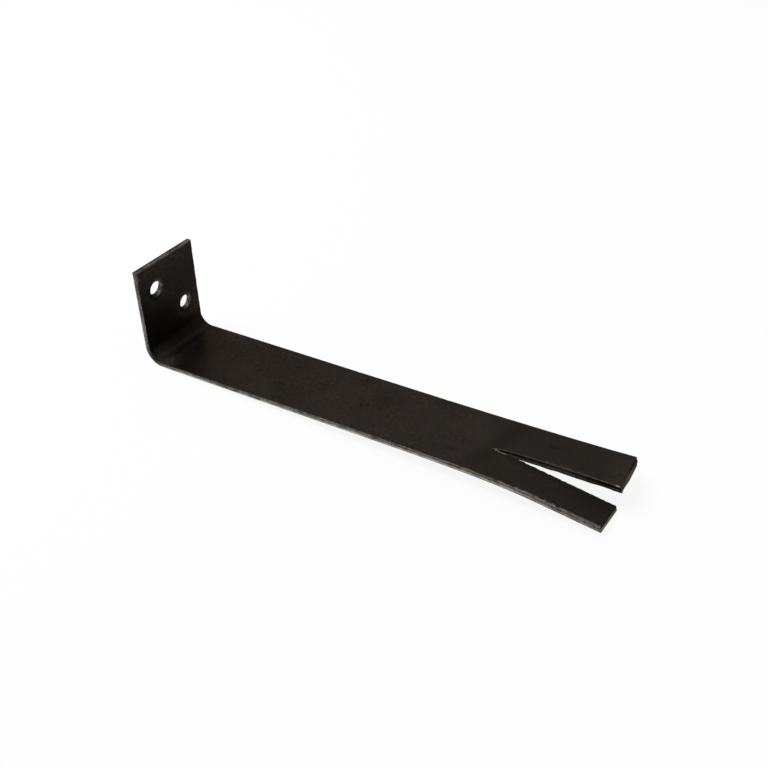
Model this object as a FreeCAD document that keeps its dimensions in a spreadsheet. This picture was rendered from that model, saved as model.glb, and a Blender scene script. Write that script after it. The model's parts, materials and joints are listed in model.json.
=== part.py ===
"""Fishtail wall tie: one strip of steel sheet, bent up at the wall and split into two tails.

Frame, in millimetres: the origin lies on the wall face of the upstand, on the strip's centreline and
midway in height between the two fixing holes. +X runs along the strip away from the wall, +Y to its
rear long edge and +Z up the upstand.
"""
import FreeCAD, Part
import itertools
import math
import os

import Sketcher
from FreeCAD import Vector

NODE = "wall_tie"
SHEET = "Sizes"

# Driving dimensions: alias, value in millimetres, meaning.
SIZES = (
    ("strip_width", 25.4, "across the long edges"),
    ("sheet_gauge", 1.6, "thickness of the sheet"),
    ("tie_length", 150.0, "wall face to the ends of the tails, as cut"),
    ("upstand_height", 32.0, "underside of the strip to the top of the upstand"),
    ("bend_radius", 4.2, "inside radius between strip and upstand"),
    ("front_rollover", 0.25, "rounding the shear left along the outer face's front edge"),
    ("rear_rollover", 0.6, "rounding the shear left along the outer face's rear edge"),
    ("fixing_rise", 18.4, "underside of the strip to the middle of the hole pattern"),
    ("hole_diameter", 5.0, "punched fixing holes"),
    ("hole_pitch_across", 11.65, "between hole centres, across the strip"),
    ("hole_pitch_up", 10.5, "between hole centres, up the upstand"),
    ("hole_shift", 0.3, "hole pattern off the centreline, to the rear"),
    ("hole_rollover", 0.35, "rounding of the rims on the wall face, where the punch went in"),
    ("slit_length", 35.6, "root of the slit to the ends of the tails"),
    ("slit_shift", 1.4, "slit off the centreline, to the front"),
    ("slit_kerf", 0.2, "width of the shear cut"),
    ("slit_point", 1.0, "length over which the cut narrows to its root"),
    ("tail_lead", 35.0, "run before the root where the outer edges may already bend"),
    ("front_end_lean", 0.4, "how far the front tail's sheared end stands out at the underside"),
    ("rear_end_lean", 0.6, "how far the rear tail's sheared end stands out at the underside"),
    ("front_slit_start", 0.1, "root to where the front tail's slit edge leaves the flat"),
    ("front_slit_handle", 1.3, "how far that edge keeps close to the flat"),
    ("front_slit_knee_run", 24.8, "root to the knee that it then makes for"),
    ("front_slit_knee_rise", -4.0, "height of the knee above the flat"),
    ("front_slit_tip_rise", -5.5, "height of its tip above the flat"),
    ("front_slit_tip_reach", 0.0, "how far its tip lies beyond the length as cut"),
    ("front_edge_start", -26.0, "root to where the front tail's long edge leaves the flat"),
    ("front_edge_handle", 38.0, "how far that edge keeps close to the flat"),
    ("front_edge_knee_run", 12.5, "root to the knee that it then makes for"),
    ("front_edge_knee_rise", -1.3, "height of the knee above the flat"),
    ("front_edge_tip_rise", -4.4, "height of its tip above the flat"),
    ("front_edge_tip_reach", -0.4, "how far its tip lies beyond the length as cut"),
    ("rear_slit_start", 0.1, "root to where the rear tail's slit edge leaves the flat"),
    ("rear_slit_handle", 0.6, "how far that edge keeps close to the flat"),
    ("rear_slit_knee_run", 1.2, "root to the knee that it then makes for"),
    ("rear_slit_knee_rise", 1.25, "height of the knee above the flat"),
    ("rear_slit_tip_rise", 1.0, "height of its tip above the flat"),
    ("rear_slit_tip_reach", 0.4, "how far its tip lies beyond the length as cut"),
    ("rear_edge_start", -22.4, "root to where the rear tail's long edge leaves the flat"),
    ("rear_edge_handle", 12.0, "how far that edge keeps close to the flat"),
    ("rear_edge_knee_run", 23.6, "root to the knee that it then makes for"),
    ("rear_edge_knee_rise", 0.35, "height of the knee above the flat"),
    ("rear_edge_tip_rise", 1.05, "height of its tip above the flat"),
    ("rear_edge_tip_reach", -0.05, "how far its tip lies beyond the length as cut"),
)

# Places worked out from the driving dimensions, as expressions on the sheet.
ROOT = "(Sizes.tie_length - Sizes.slit_length)"
TAIL_START = "(Sizes.tie_length - Sizes.slit_length - Sizes.tail_lead)"
HALF_WIDTH = "(Sizes.strip_width / 2)"

# Numbers that stand for the ends and centre of a drawn edge, and for a sketch's origin and upright axis.
START, END, CENTRE = 1, 2, 3
ORIGIN = (-1, 1)
UPRIGHT_AXIS = -2

# All points that steer a curve pull on it alike.
EQUAL_WEIGHT = 1.0

# A face looks outward when its normal leans at least this far to the wall or to the ground.
OUTWARD_LEAN = math.sin(math.radians(30))

# Two places count as one when they are this close, in millimetres.
TOUCHING = 1e-4


def make_sheet(doc):
    """Write the driving dimensions to the document's spreadsheet and return their values by name."""
    sheet = doc.addObject("Spreadsheet::Sheet", SHEET)
    for row, (alias, value, meaning) in enumerate(SIZES, start=1):
        sheet.set(f"A{row}", alias)
        sheet.set(f"B{row}", str(value))
        sheet.set(f"C{row}", meaning)
        sheet.setAlias(f"B{row}", alias)
    doc.recompute()
    return {alias: float(sheet.get(alias)) for alias, _, _ in SIZES}


def new_sketch(body, name, role, offset=None):
    """Attach a sketch to one of the body's origin planes, moved along its normal by an expression."""
    sketch = body.newObject("Sketcher::SketchObject", name)
    plane = next(item for item in body.Origin.OriginFeatures if item.Role == role)
    sketch.AttachmentSupport = [(plane, "")]
    sketch.MapMode = "FlatFace"
    if offset:
        sketch.setExpression("AttachmentOffset.Base.z", offset)
    return sketch


def drawn_value(sketch, kind, where):
    """The value that a dimension has in the sketch as drawn."""
    edge = sketch.Geometry[max(where[0], 0)]
    if kind == "Radius":
        return edge.Radius
    if kind == "Diameter":
        return 2 * edge.Radius
    if kind == "Distance":
        return edge.length()
    gap = sketch.getPoint(where[2], where[3]) - sketch.getPoint(where[0], where[1])
    return gap.x if kind == "DistanceX" else gap.y


def bind(sketch, name, expression, kind, *where):
    """Add a named dimension to a sketch as drawn and tie it to the sheet."""
    value = drawn_value(sketch, kind, where)
    index = sketch.addConstraint(Sketcher.Constraint(kind, *where, value))
    sketch.renameConstraint(index, name)
    sketch.setExpression(f"Constraints.{name}", expression)


def arc_between(first, last, centre):
    """Arc of less than half a turn about a centre, from one point to another."""
    radius = (first - centre).Length
    middle = centre + ((first + last) / 2 - centre).normalize() * radius
    return Part.Arc(first, middle, last)


def shared_ends(sketch, one, other):
    """The ends at which two neighbouring edges of a sketch meet."""

    def gap(pair):
        return (sketch.getPoint(one, pair[0]) - sketch.getPoint(other, pair[1])).Length

    return min(itertools.product((START, END), repeat=2), key=gap)


def add_chain(sketch, edges, smooth):
    """Add a closed chain of named edges.

    Neighbours are joined at their ends, tangent where smooth names the later one. Returns the edges'
    numbers by name.
    """
    number = {name: sketch.addGeometry(edge, False) for name, edge in edges.items()}
    names = list(edges)
    for name, following in zip(names, names[1:] + names[:1]):
        one, other = number[name], number[following]
        end_of_one, end_of_other = shared_ends(sketch, one, other)
        kind = "Tangent" if following in smooth else "Coincident"
        sketch.addConstraint(Sketcher.Constraint(kind, one, end_of_one, other, end_of_other))
    return number


def straighten(sketch, number, level=(), upright=()):
    """Hold the named edges of a chain level or upright."""
    for name in level:
        sketch.addConstraint(Sketcher.Constraint("Horizontal", number[name]))
    for name in upright:
        sketch.addConstraint(Sketcher.Constraint("Vertical", number[name]))


def strip_profile(body, size):
    """Side view of the upstand, the bend and the flat run of the strip."""
    sketch = new_sketch(body, "strip_profile", "XZ_Plane")
    gauge = size["sheet_gauge"]
    under = -size["fixing_rise"]
    top = under + size["upstand_height"]
    far = size["tie_length"] - size["slit_length"] - size["tail_lead"]
    outer = size["bend_radius"] + gauge
    centre = Vector(outer, under + outer)
    corner = {
        "strip_heel": Vector(outer, under),
        "strip_far_low": Vector(far, under),
        "strip_far_high": Vector(far, under + gauge),
        "bend_inner_low": Vector(outer, under + gauge),
        "bend_inner_high": Vector(gauge, under + outer),
        "top_inner": Vector(gauge, top),
        "top_wall": Vector(0, top),
        "wall_heel": Vector(0, under + outer),
    }
    number = add_chain(sketch, {
        "underside": Part.LineSegment(corner["strip_heel"], corner["strip_far_low"]),
        "far_end": Part.LineSegment(corner["strip_far_low"], corner["strip_far_high"]),
        "top_face": Part.LineSegment(corner["strip_far_high"], corner["bend_inner_low"]),
        "inner_bend": arc_between(corner["bend_inner_low"], corner["bend_inner_high"], centre),
        "inner_face": Part.LineSegment(corner["bend_inner_high"], corner["top_inner"]),
        "top_edge": Part.LineSegment(corner["top_inner"], corner["top_wall"]),
        "wall_face": Part.LineSegment(corner["top_wall"], corner["wall_heel"]),
        "outer_bend": arc_between(corner["wall_heel"], corner["strip_heel"], centre),
    }, smooth=("inner_bend", "inner_face", "outer_bend", "underside"))
    straighten(sketch, number, level=("underside", "top_face", "top_edge"),
               upright=("far_end", "inner_face", "wall_face"))
    sketch.addConstraint(Sketcher.Constraint(
        "Coincident", number["inner_bend"], CENTRE, number["outer_bend"], CENTRE))
    sketch.addConstraint(Sketcher.Constraint(
        "PointOnObject", number["wall_face"], START, UPRIGHT_AXIS))
    bind(sketch, "inside_radius", "Sizes.bend_radius", "Radius", number["inner_bend"])
    bind(sketch, "gauge", "Sizes.sheet_gauge", "Distance", number["far_end"])
    bind(sketch, "run", TAIL_START, "DistanceX", *ORIGIN, number["underside"], END)
    bind(sketch, "rise", "Sizes.fixing_rise", "DistanceY", number["underside"], END, *ORIGIN)
    bind(sketch, "height", "Sizes.upstand_height - Sizes.fixing_rise", "DistanceY",
         *ORIGIN, number["wall_face"], START)
    return sketch


def free_curve(poles):
    """Smooth curve drawn by its first point, two points that it makes for, and its last point."""
    curve = Part.BSplineCurve()
    curve.buildFromPoles(poles, False, len(poles) - 1)
    return curve


def add_handles(sketch, curve, poles):
    """Add the points that steer a curve of the sketch, as handles that dimensions can hold."""
    handles = []
    for index, pole in enumerate(poles):
        handle = sketch.addGeometry(Part.Circle(pole, Vector(0, 0, 1), EQUAL_WEIGHT), True)
        sketch.addConstraint(Sketcher.Constraint(
            "InternalAlignment:Sketcher::BSplineControlPoint", handle, CENTRE, curve, index))
        if handles:
            sketch.addConstraint(Sketcher.Constraint("Equal", handles[0], handle))
        else:
            sketch.addConstraint(Sketcher.Constraint("Weight", handle, EQUAL_WEIGHT))
        handles.append(handle)
    return handles


def tail_profile(body, size, tail, side, offset):
    """Side view of a tail at one of its edges: a flat lead and a curve that leaves it smoothly.

    tail and side name the edge's sizes on the sheet, and offset is the expression that places the view
    across the strip, positive to the front.
    """
    edge = f"{tail}_{side}"
    sketch = new_sketch(body, f"{edge}_profile", "XZ_Plane", offset)
    gauge = Vector(0, size["sheet_gauge"])
    flat = size["sheet_gauge"] - size["fixing_rise"]
    root = size["tie_length"] - size["slit_length"]
    begin = Vector(root - size["tail_lead"], flat)
    leave = Vector(root + size[f"{edge}_start"], flat)
    high = (
        leave,
        leave + Vector(size[f"{edge}_handle"], 0),
        Vector(root + size[f"{edge}_knee_run"], flat + size[f"{edge}_knee_rise"]),
        Vector(size["tie_length"] + size[f"{edge}_tip_reach"], flat + size[f"{edge}_tip_rise"]),
    )
    lean = Vector(size[f"{tail}_end_lean"], 0)
    low = tuple(pole - gauge for pole in high[:-1]) + (high[-1] - gauge + lean,)
    number = add_chain(sketch, {
        "start": Part.LineSegment(begin, begin - gauge),
        "low_lead": Part.LineSegment(begin - gauge, low[0]),
        "low_curve": free_curve(low),
        "end": Part.LineSegment(low[-1], high[-1]),
        "high_curve": free_curve(high),
        "high_lead": Part.LineSegment(leave, begin),
    }, smooth=())
    straighten(sketch, number, level=("low_lead", "high_lead"), upright=("start",))
    high_handles = add_handles(sketch, number["high_curve"], high)
    low_handles = add_handles(sketch, number["low_curve"], low)
    leaving, level, knee, tip = high_handles
    sketch.addConstraint(Sketcher.Constraint("Horizontal", leaving, CENTRE, level, CENTRE))
    for above, below in zip(high_handles[:-1], low_handles[:-1]):
        sketch.addConstraint(Sketcher.Constraint("Vertical", above, CENTRE, below, CENTRE))

    bind(sketch, "gauge", "Sizes.sheet_gauge", "Distance", number["start"])
    bind(sketch, "run", TAIL_START, "DistanceX", *ORIGIN, number["start"], START)
    bind(sketch, "flat", "Sizes.sheet_gauge - Sizes.fixing_rise", "DistanceY",
         *ORIGIN, number["start"], START)
    bind(sketch, "leave", f"{ROOT} + Sizes.{edge}_start", "DistanceX", *ORIGIN, leaving, CENTRE)
    bind(sketch, "handle", f"Sizes.{edge}_handle", "DistanceX", leaving, CENTRE, level, CENTRE)
    bind(sketch, "knee_run", f"{ROOT} + Sizes.{edge}_knee_run", "DistanceX", *ORIGIN, knee, CENTRE)
    bind(sketch, "knee_rise", f"Sizes.{edge}_knee_rise", "DistanceY", leaving, CENTRE, knee, CENTRE)
    bind(sketch, "tip_run", f"Sizes.tie_length + Sizes.{edge}_tip_reach", "DistanceX", *ORIGIN, tip, CENTRE)
    bind(sketch, "tip_rise", f"Sizes.{edge}_tip_rise", "DistanceY", leaving, CENTRE, tip, CENTRE)
    for name, above, below in zip(("level", "knee", "tip"), high_handles[1:], low_handles[1:]):
        bind(sketch, f"gauge_at_{name}", "Sizes.sheet_gauge", "DistanceY", below, CENTRE, above, CENTRE)
    bind(sketch, "lean", f"Sizes.{tail}_end_lean", "DistanceX", tip, CENTRE, low_handles[-1], CENTRE)
    return sketch


def add_tail(body, size, name, outer_offset):
    """Bend one tail out of the strip, as the ruled sheet between its slit edge and its long edge."""
    slit_view = tail_profile(body, size, name, "slit", "Sizes.slit_shift")
    edge_view = tail_profile(body, size, name, "edge", outer_offset)
    tail = body.newObject("PartDesign::AdditiveLoft", f"{name}_tail")
    tail.Profile = slit_view
    tail.Sections = [edge_view]
    tail.Ruled = True
    body.Document.recompute()


def cut_slit(body, size):
    """Shear the slit that parts the tails, narrowing to a point at its root."""
    sketch = new_sketch(body, "slit_outline", "XY_Plane")
    root = size["tie_length"] - size["slit_length"]
    shoulder = root + size["slit_point"]
    beyond = size["tie_length"] + size["tail_lead"]
    middle = -size["slit_shift"]
    half = size["slit_kerf"] / 2
    tip = Vector(root, middle)
    front_near, front_far = Vector(shoulder, middle - half), Vector(beyond, middle - half)
    rear_near, rear_far = Vector(shoulder, middle + half), Vector(beyond, middle + half)
    number = add_chain(sketch, {
        "front_point": Part.LineSegment(tip, front_near),
        "front_side": Part.LineSegment(front_near, front_far),
        "mouth": Part.LineSegment(front_far, rear_far),
        "rear_side": Part.LineSegment(rear_far, rear_near),
        "rear_point": Part.LineSegment(rear_near, tip),
    }, smooth=())
    straighten(sketch, number, level=("front_side", "rear_side"), upright=("mouth",))
    sketch.addConstraint(Sketcher.Constraint("Equal", number["front_point"], number["rear_point"]))
    sketch.addConstraint(Sketcher.Constraint(
        "Vertical", number["front_point"], END, number["rear_point"], START))
    bind(sketch, "root", ROOT, "DistanceX", *ORIGIN, number["front_point"], START)
    bind(sketch, "shift", "Sizes.slit_shift", "DistanceY", number["front_point"], START, *ORIGIN)
    bind(sketch, "point", "Sizes.slit_point", "DistanceX",
         number["front_point"], START, number["front_point"], END)
    bind(sketch, "kerf", "Sizes.slit_kerf", "Distance", number["mouth"])
    bind(sketch, "reach", "Sizes.tie_length + Sizes.tail_lead", "DistanceX",
         *ORIGIN, number["front_side"], END)
    slit = body.newObject("PartDesign::Pocket", "slit")
    slit.Profile = sketch
    slit.Type = "ThroughAll"
    slit.SideType = "Symmetric"
    body.Document.recompute()
    return slit


def punch_holes(body, size):
    """Punch the two fixing holes through the upstand, one near each long edge."""
    sketch = new_sketch(body, "hole_centres", "YZ_Plane")
    for name, side in (("upper", 1), ("lower", -1)):
        centre = Vector(size["hole_shift"] - side * size["hole_pitch_across"] / 2,
                        side * size["hole_pitch_up"] / 2)
        circle = sketch.addGeometry(Part.Circle(centre, Vector(0, 0, 1), size["hole_diameter"] / 2), False)
        bind(sketch, f"{name}_diameter", "Sizes.hole_diameter", "Diameter", circle)
        across = f"Sizes.hole_pitch_across / 2 - {side} * Sizes.hole_shift"
        up = "Sizes.hole_pitch_up / 2"
        if side > 0:
            bind(sketch, f"{name}_across", across, "DistanceX", circle, CENTRE, *ORIGIN)
            bind(sketch, f"{name}_up", up, "DistanceY", *ORIGIN, circle, CENTRE)
        else:
            bind(sketch, f"{name}_across", across, "DistanceX", *ORIGIN, circle, CENTRE)
            bind(sketch, f"{name}_up", up, "DistanceY", circle, CENTRE, *ORIGIN)
    holes = body.newObject("PartDesign::Pocket", "fixing_holes")
    holes.Profile = sketch
    holes.Type = "Length"
    holes.Reversed = True
    holes.setExpression("Length", "Sizes.sheet_gauge")
    body.Document.recompute()
    return holes


def round_edges(body, name, base, radius, keep):
    """Round the edges of the base feature that pass a test, to a radius on the sheet."""
    rounding = body.newObject("PartDesign::Fillet", name)
    chosen = [f"Edge{i}" for i, edge in enumerate(base.Shape.Edges, start=1) if keep(edge)]
    rounding.Base = (base, chosen)
    rounding.setExpression("Radius", radius)
    body.Document.recompute()
    return rounding


def roll_hole_rims(body, base):
    """Roll the rims of the holes over on the wall face, where the punch went in."""

    def is_rim(edge):
        curve = edge.Curve
        return isinstance(curve, Part.Circle) and abs(curve.Center.x) < TOUCHING

    return round_edges(body, "rolled_rims", base, "Sizes.hole_rollover", is_rim)


def roll_long_edge(body, name, base, edge_y):
    """Roll the long edge at edge_y over on the strip's outer face: the wall side and the underside."""

    def faces_out(face, point):
        normal = face.normalAt(*face.Surface.parameter(point))
        return min(normal.x, normal.z) < -OUTWARD_LEAN

    def is_outer_long_edge(edge):
        middle = edge.valueAt((edge.FirstParameter + edge.LastParameter) / 2)
        points = [vertex.Point for vertex in edge.Vertexes] + [middle]
        on_side = all(math.isclose(point.y, edge_y, abs_tol=TOUCHING) for point in points)
        faces = base.Shape.ancestorsOfType(edge, Part.Face)
        return on_side and any(faces_out(face, middle) for face in faces)

    return round_edges(body, f"rolled_{name}_edge", base, f"Sizes.{name}_rollover", is_outer_long_edge)


def check(doc, body):
    """Stop where a sketch is loose, a feature failed or the finished tie isn't one sound solid."""
    for item in doc.Objects:
        if {"Invalid", "Error"} & set(item.State):
            raise RuntimeError(f"{item.Name} failed")
        if item.isDerivedFrom("Sketcher::SketchObject") and not item.FullyConstrained:
            raise RuntimeError(f"{item.Name} isn't fully constrained")
        if item.isDerivedFrom("PartDesign::Feature") and (item.Shape.isNull() or not item.Shape.isValid()):
            raise RuntimeError(f"{item.Name} has no sound shape")
    if len(body.Shape.Solids) != 1 or not body.Shape.isValid():
        raise RuntimeError("the tie is not one sound solid")


def main():
    """Build the tie, check it and write its solid."""
    doc = FreeCAD.newDocument("fishtail_wall_tie")
    size = make_sheet(doc)
    body = doc.addObject("PartDesign::Body", NODE)
    body.Label = NODE

    strip = body.newObject("PartDesign::Pad", "strip")
    strip.Profile = strip_profile(body, size)
    strip.SideType = "Symmetric"
    strip.setExpression("Length", "Sizes.strip_width")
    doc.recompute()
    add_tail(body, size, "rear", f"-{HALF_WIDTH}")
    add_tail(body, size, "front", HALF_WIDTH)
    slit = cut_slit(body, size)
    half_width = size["strip_width"] / 2
    front_rolled = roll_long_edge(body, "front", slit, -half_width)
    roll_long_edge(body, "rear", front_rolled, half_width)
    holes = punch_holes(body, size)
    roll_hole_rims(body, holes)
    doc.recompute()
    check(doc, body)
    body.Shape.exportStep(os.path.join("parts", f"{body.Label}.step"))


os.makedirs("parts", exist_ok=True)
main()
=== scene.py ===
"""Looks of the fishtail wall tie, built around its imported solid.

The tie is one strip of hot-rolled steel sheet: black mill scale on its faces, bare torn metal where it was
sheared and punched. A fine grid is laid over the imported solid, its cut edges are roughened and burred, and
it is dressed in the two finishes. Sizes are in millimetres unless a name or a docstring says otherwise.
"""
import json
import logging
import math
from dataclasses import dataclass, field
from enum import Enum, IntEnum
from typing import Any

import bmesh
import bpy
import numpy as np
from mathutils import Matrix, Vector, noise
from mathutils.bvhtree import BVHTree


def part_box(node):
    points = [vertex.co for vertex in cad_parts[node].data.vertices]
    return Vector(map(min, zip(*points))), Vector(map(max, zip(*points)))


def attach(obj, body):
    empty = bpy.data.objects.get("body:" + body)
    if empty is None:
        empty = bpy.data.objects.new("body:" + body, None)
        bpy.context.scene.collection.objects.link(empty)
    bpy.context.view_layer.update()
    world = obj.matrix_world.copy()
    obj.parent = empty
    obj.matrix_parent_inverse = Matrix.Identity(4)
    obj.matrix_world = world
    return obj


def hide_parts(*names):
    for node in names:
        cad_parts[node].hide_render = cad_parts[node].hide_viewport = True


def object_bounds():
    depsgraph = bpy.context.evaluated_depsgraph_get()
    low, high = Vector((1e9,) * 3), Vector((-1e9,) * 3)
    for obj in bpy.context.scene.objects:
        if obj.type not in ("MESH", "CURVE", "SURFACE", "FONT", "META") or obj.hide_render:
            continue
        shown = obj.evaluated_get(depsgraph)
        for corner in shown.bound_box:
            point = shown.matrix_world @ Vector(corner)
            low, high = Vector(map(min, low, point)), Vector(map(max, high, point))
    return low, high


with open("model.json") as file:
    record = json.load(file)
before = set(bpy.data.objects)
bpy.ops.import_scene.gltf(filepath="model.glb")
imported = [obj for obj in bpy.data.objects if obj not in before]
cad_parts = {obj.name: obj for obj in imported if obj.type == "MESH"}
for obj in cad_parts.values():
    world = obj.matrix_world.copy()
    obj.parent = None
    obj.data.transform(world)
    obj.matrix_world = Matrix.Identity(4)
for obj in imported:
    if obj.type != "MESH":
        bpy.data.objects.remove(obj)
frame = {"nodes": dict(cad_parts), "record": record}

CAD_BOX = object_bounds()
NODE = "wall_tie"
MM = 0.001

# Attributes that the finishes read from the mesh: the place on the sheet before it was folded, as millimetres
# along, across and through it, and marks from 0 to 1: how bare and bright the metal is, with painted light and
# painted highlights in the same mark; how far cracks from folding, sooty marks and painted shade darken the
# scale; and how far handling scuffed it matt.
SHEET_PLACE = "sheet_mm"
BARE_AND_PAINTED_LIGHT = "bare"
FOLDED_AND_SHADED = "flexed"
SCUFFED = "scuffed"
MARKS = (BARE_AND_PAINTED_LIGHT, FOLDED_AND_SHADED, SCUFFED)

# Sockets of a Mix node for colours. They go by number, because its inputs for other data have the same names.
MIX_SHARE, MIX_FROM, MIX_TO, MIX_COLOUR = 0, 6, 7, 2

log = logging.getLogger("wall_tie")


class Zone(IntEnum):
    """Which of the tie's finishes a face takes: its number is the material slot."""

    SCALE = 0
    SHEARED = 1


class Side(IntEnum):
    """The two long sides of the strip or of a tail: each one's number is its sign along Y."""

    FRONT = -1
    REAR = 1

    @property
    def column(self) -> int:
        """The column of a panel that lies on this side."""
        return 0 if self is Side.FRONT else -1

    @property
    def other(self) -> "Side":
        """The side across from this one."""
        return Side(-self)


class EdgePattern(float, Enum):
    """An edge's independent noise patterns: each one's number is added to the edge's own layer."""

    TEAR = 0.0
    NICK = 3.1
    FINE_TEAR = 7.3
    BEAD = 11.7
    FINE_BEAD = 19.9
    STREAK = 23.0
    FINE_STREAK = 29.0
    RUB = 31.0
    FINE_RUB = 37.0


class SheetPattern(float, Enum):
    """The sheet's independent noise patterns: each one's number is its layer."""

    INNER_WAVE = 2.2
    OUTER_WAVE = 4.4
    HANGING_BURR = 6.6
    SLIT_FLECKS = 8.8


def linear(colour: str) -> tuple[float, float, float, float]:
    """Turn an sRGB hex colour to linear values with full alpha.

    Args:
        colour: Six hex digits after a hash.

    Returns:
        Red, green, blue and alpha.
    """
    levels = [int(colour[i:i + 2], 16) / 255 for i in (1, 3, 5)]
    red, green, blue = (c / 12.92 if c <= 0.04045 else ((c + 0.055) / 1.055) ** 2.4 for c in levels)
    return red, green, blue, 1.0


def add_node(tree: bpy.types.NodeTree, kind: str, inputs: dict[str | int, Any] | None = None,
             **settings: Any) -> bpy.types.Node:
    """Add a node with its settings, values and links.

    Args:
        tree: The node tree to add to.
        kind: The node's type, without the leading ShaderNode.
        inputs: Values or output sockets for its inputs, by name or number.
        **settings: Properties of the node itself.

    Returns:
        The new node.
    """
    made = tree.nodes.new(f"ShaderNode{kind}")
    for name, value in settings.items():
        setattr(made, name, value)
    for name, value in (inputs or {}).items():
        if isinstance(value, bpy.types.NodeSocket):
            tree.links.new(value, made.inputs[name])
        else:
            made.inputs[name].default_value = value
    return made


def ripple(along: np.ndarray, through: np.ndarray, layer: float) -> np.ndarray:
    """Smooth noise from -1 to 1 over two fields of coordinates of the same shape.

    Args:
        along: First coordinate, in units of the ripple's size.
        through: Second coordinate, in units of the ripple's size.
        layer: Which of many independent patterns to read.

    Returns:
        The noise, in the shape of the coordinates.
    """
    pairs = zip(np.ravel(along), np.ravel(through))
    values = [noise.noise(Vector((float(a), float(b), layer))) for a, b in pairs]
    return np.array(values).reshape(np.shape(along))


def ramp(value: np.ndarray, low: float, high: float) -> np.ndarray:
    """Rise smoothly from 0 where value is low to 1 where it is high."""
    share = np.clip((value - low) / (high - low), 0.0, 1.0)
    return share * share * (3 - 2 * share)


def window(value: np.ndarray, rise: tuple[float, float], fall: tuple[float, float]) -> np.ndarray:
    """Rise smoothly from 0 to 1 over one range of values, and fall back to 0 over a later one."""
    return ramp(value, *rise) * (1 - ramp(value, *fall))


def spaced(first: float, last: float, step: float, guards: tuple[float, ...] = (),
           guard_first: bool = False, guard_last: bool = False) -> np.ndarray:
    """Evenly spaced values, with closer ones beside an end that is an edge of the sheet.

    Args:
        first: First value.
        last: Last value, above or below the first.
        step: About how far apart the values lie.
        guards: Distances of the closer values from the edge.
        guard_first: Whether the first value is an edge.
        guard_last: Whether the last value is an edge.

    Returns:
        The values, from first to last.
    """
    way = 1 if last > first else -1
    head = [first + way * g for g in guards] if guard_first else []
    tail = [last - way * g for g in reversed(guards)] if guard_last else []
    start = head[-1] if head else first
    stop = tail[0] if tail else last
    count = max(1, round(abs(stop - start) / step))
    middle = np.linspace(start, stop, count + 1)
    ends = ([first] + head[:-1] if head else []), (tail[1:] + [last] if tail else [])
    return np.concatenate([ends[0], middle, ends[1]])


@dataclass
class SolidProbe:
    """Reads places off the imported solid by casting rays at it."""

    solid: bpy.types.Object
    reach: float = 400.0
    tree: BVHTree = field(init=False)

    def __post_init__(self) -> None:
        """Index the solid's faces."""
        corners = [vertex.co / MM for vertex in self.solid.data.vertices]
        self.tree = BVHTree.FromPolygons(corners, [tuple(face.vertices) for face in self.solid.data.polygons])

    def drop(self, x: float, y: float) -> Vector | None:
        """Where a ray straight down meets the solid, or None where it passes by."""
        return self.tree.ray_cast(Vector((x, y, self.reach)), Vector((0, 0, -1)))[0]

    def height(self, x: float, y: float) -> float:
        """Height of the strip's top face over a place on its plan."""
        return self.drop(x, y).z

    def end(self, y: float, z: float) -> float:
        """How far the strip reaches along +X at a place across and in height."""
        return self.tree.ray_cast(Vector((self.reach, y, z)), Vector((-1, 0, 0)))[0].x


@dataclass
class GridMesh:
    """A mesh gathered from grids of points, which are joined where their borders meet."""

    points: list[np.ndarray] = field(default_factory=list)
    places: list[np.ndarray] = field(default_factory=list)
    marks: dict[str, list[np.ndarray]] = field(default_factory=lambda: {name: [] for name in MARKS})
    faces: list[np.ndarray] = field(default_factory=list)
    zones: list[np.ndarray] = field(default_factory=list)
    count: int = 0
    seam: float = 0.002

    def add(self, points: np.ndarray, places: np.ndarray, zone: Zone | np.ndarray,
            marks: dict[str, np.ndarray], closed: bool = False, keep: np.ndarray | None = None) -> None:
        """Add one grid.

        Args:
            points: Rows by columns of points.
            places: The points' places on the flat sheet.
            zone: The finish of all faces, or of each row of them.
            marks: Levels of the marks at each point, where they aren't 0.
            closed: Whether the last column joins the first.
            keep: Which faces to make, where some are left out.
        """
        rows, columns = points.shape[:2]
        number = self.count + np.arange(rows * columns).reshape(rows, columns)
        if closed:
            number = np.concatenate([number, number[:, :1]], axis=1)
        quads = np.stack([number[:-1, :-1], number[:-1, 1:], number[1:, 1:], number[1:, :-1]], axis=-1)
        zones = np.broadcast_to(np.reshape(np.asarray(zone, int), (-1, 1)), quads.shape[:2])
        chosen = np.ones(quads.shape[:2], bool) if keep is None else keep
        self.points.append(points.reshape(-1, 3))
        self.places.append(places.reshape(-1, 3))
        for name, levels in self.marks.items():
            levels.append(np.broadcast_to(marks.get(name, 0.0), (rows, columns)).reshape(-1))
        self.faces.append(quads[chosen])
        self.zones.append(zones[chosen])
        self.count += rows * columns

    def to_object(self, name: str) -> bpy.types.Object:
        """Join the grids to one closed mesh in metres.

        Args:
            name: Name of the object and its mesh.

        Returns:
            The new object, linked to the scene.
        """
        mesh = bpy.data.meshes.new(name)
        mesh.from_pydata(np.concatenate(self.points) * MM, [], np.concatenate(self.faces).tolist())
        mesh.polygons.foreach_set("material_index", np.concatenate(self.zones).astype(np.int32))
        place = mesh.attributes.new(SHEET_PLACE, "FLOAT_VECTOR", "POINT")
        place.data.foreach_set("vector", np.concatenate(self.places).astype(np.float32).ravel())
        for label, levels in self.marks.items():
            level = mesh.attributes.new(label, "FLOAT", "POINT")
            level.data.foreach_set("value", np.concatenate(levels).astype(np.float32))
        work = bmesh.new()
        work.from_mesh(mesh)
        bmesh.ops.remove_doubles(work, verts=work.verts, dist=self.seam * MM)
        bmesh.ops.recalc_face_normals(work, faces=work.faces)
        for face in work.faces:
            face.smooth = True
        work.to_mesh(mesh)
        work.free()
        made = bpy.data.objects.new(name, mesh)
        bpy.context.scene.collection.objects.link(made)
        return made


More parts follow.
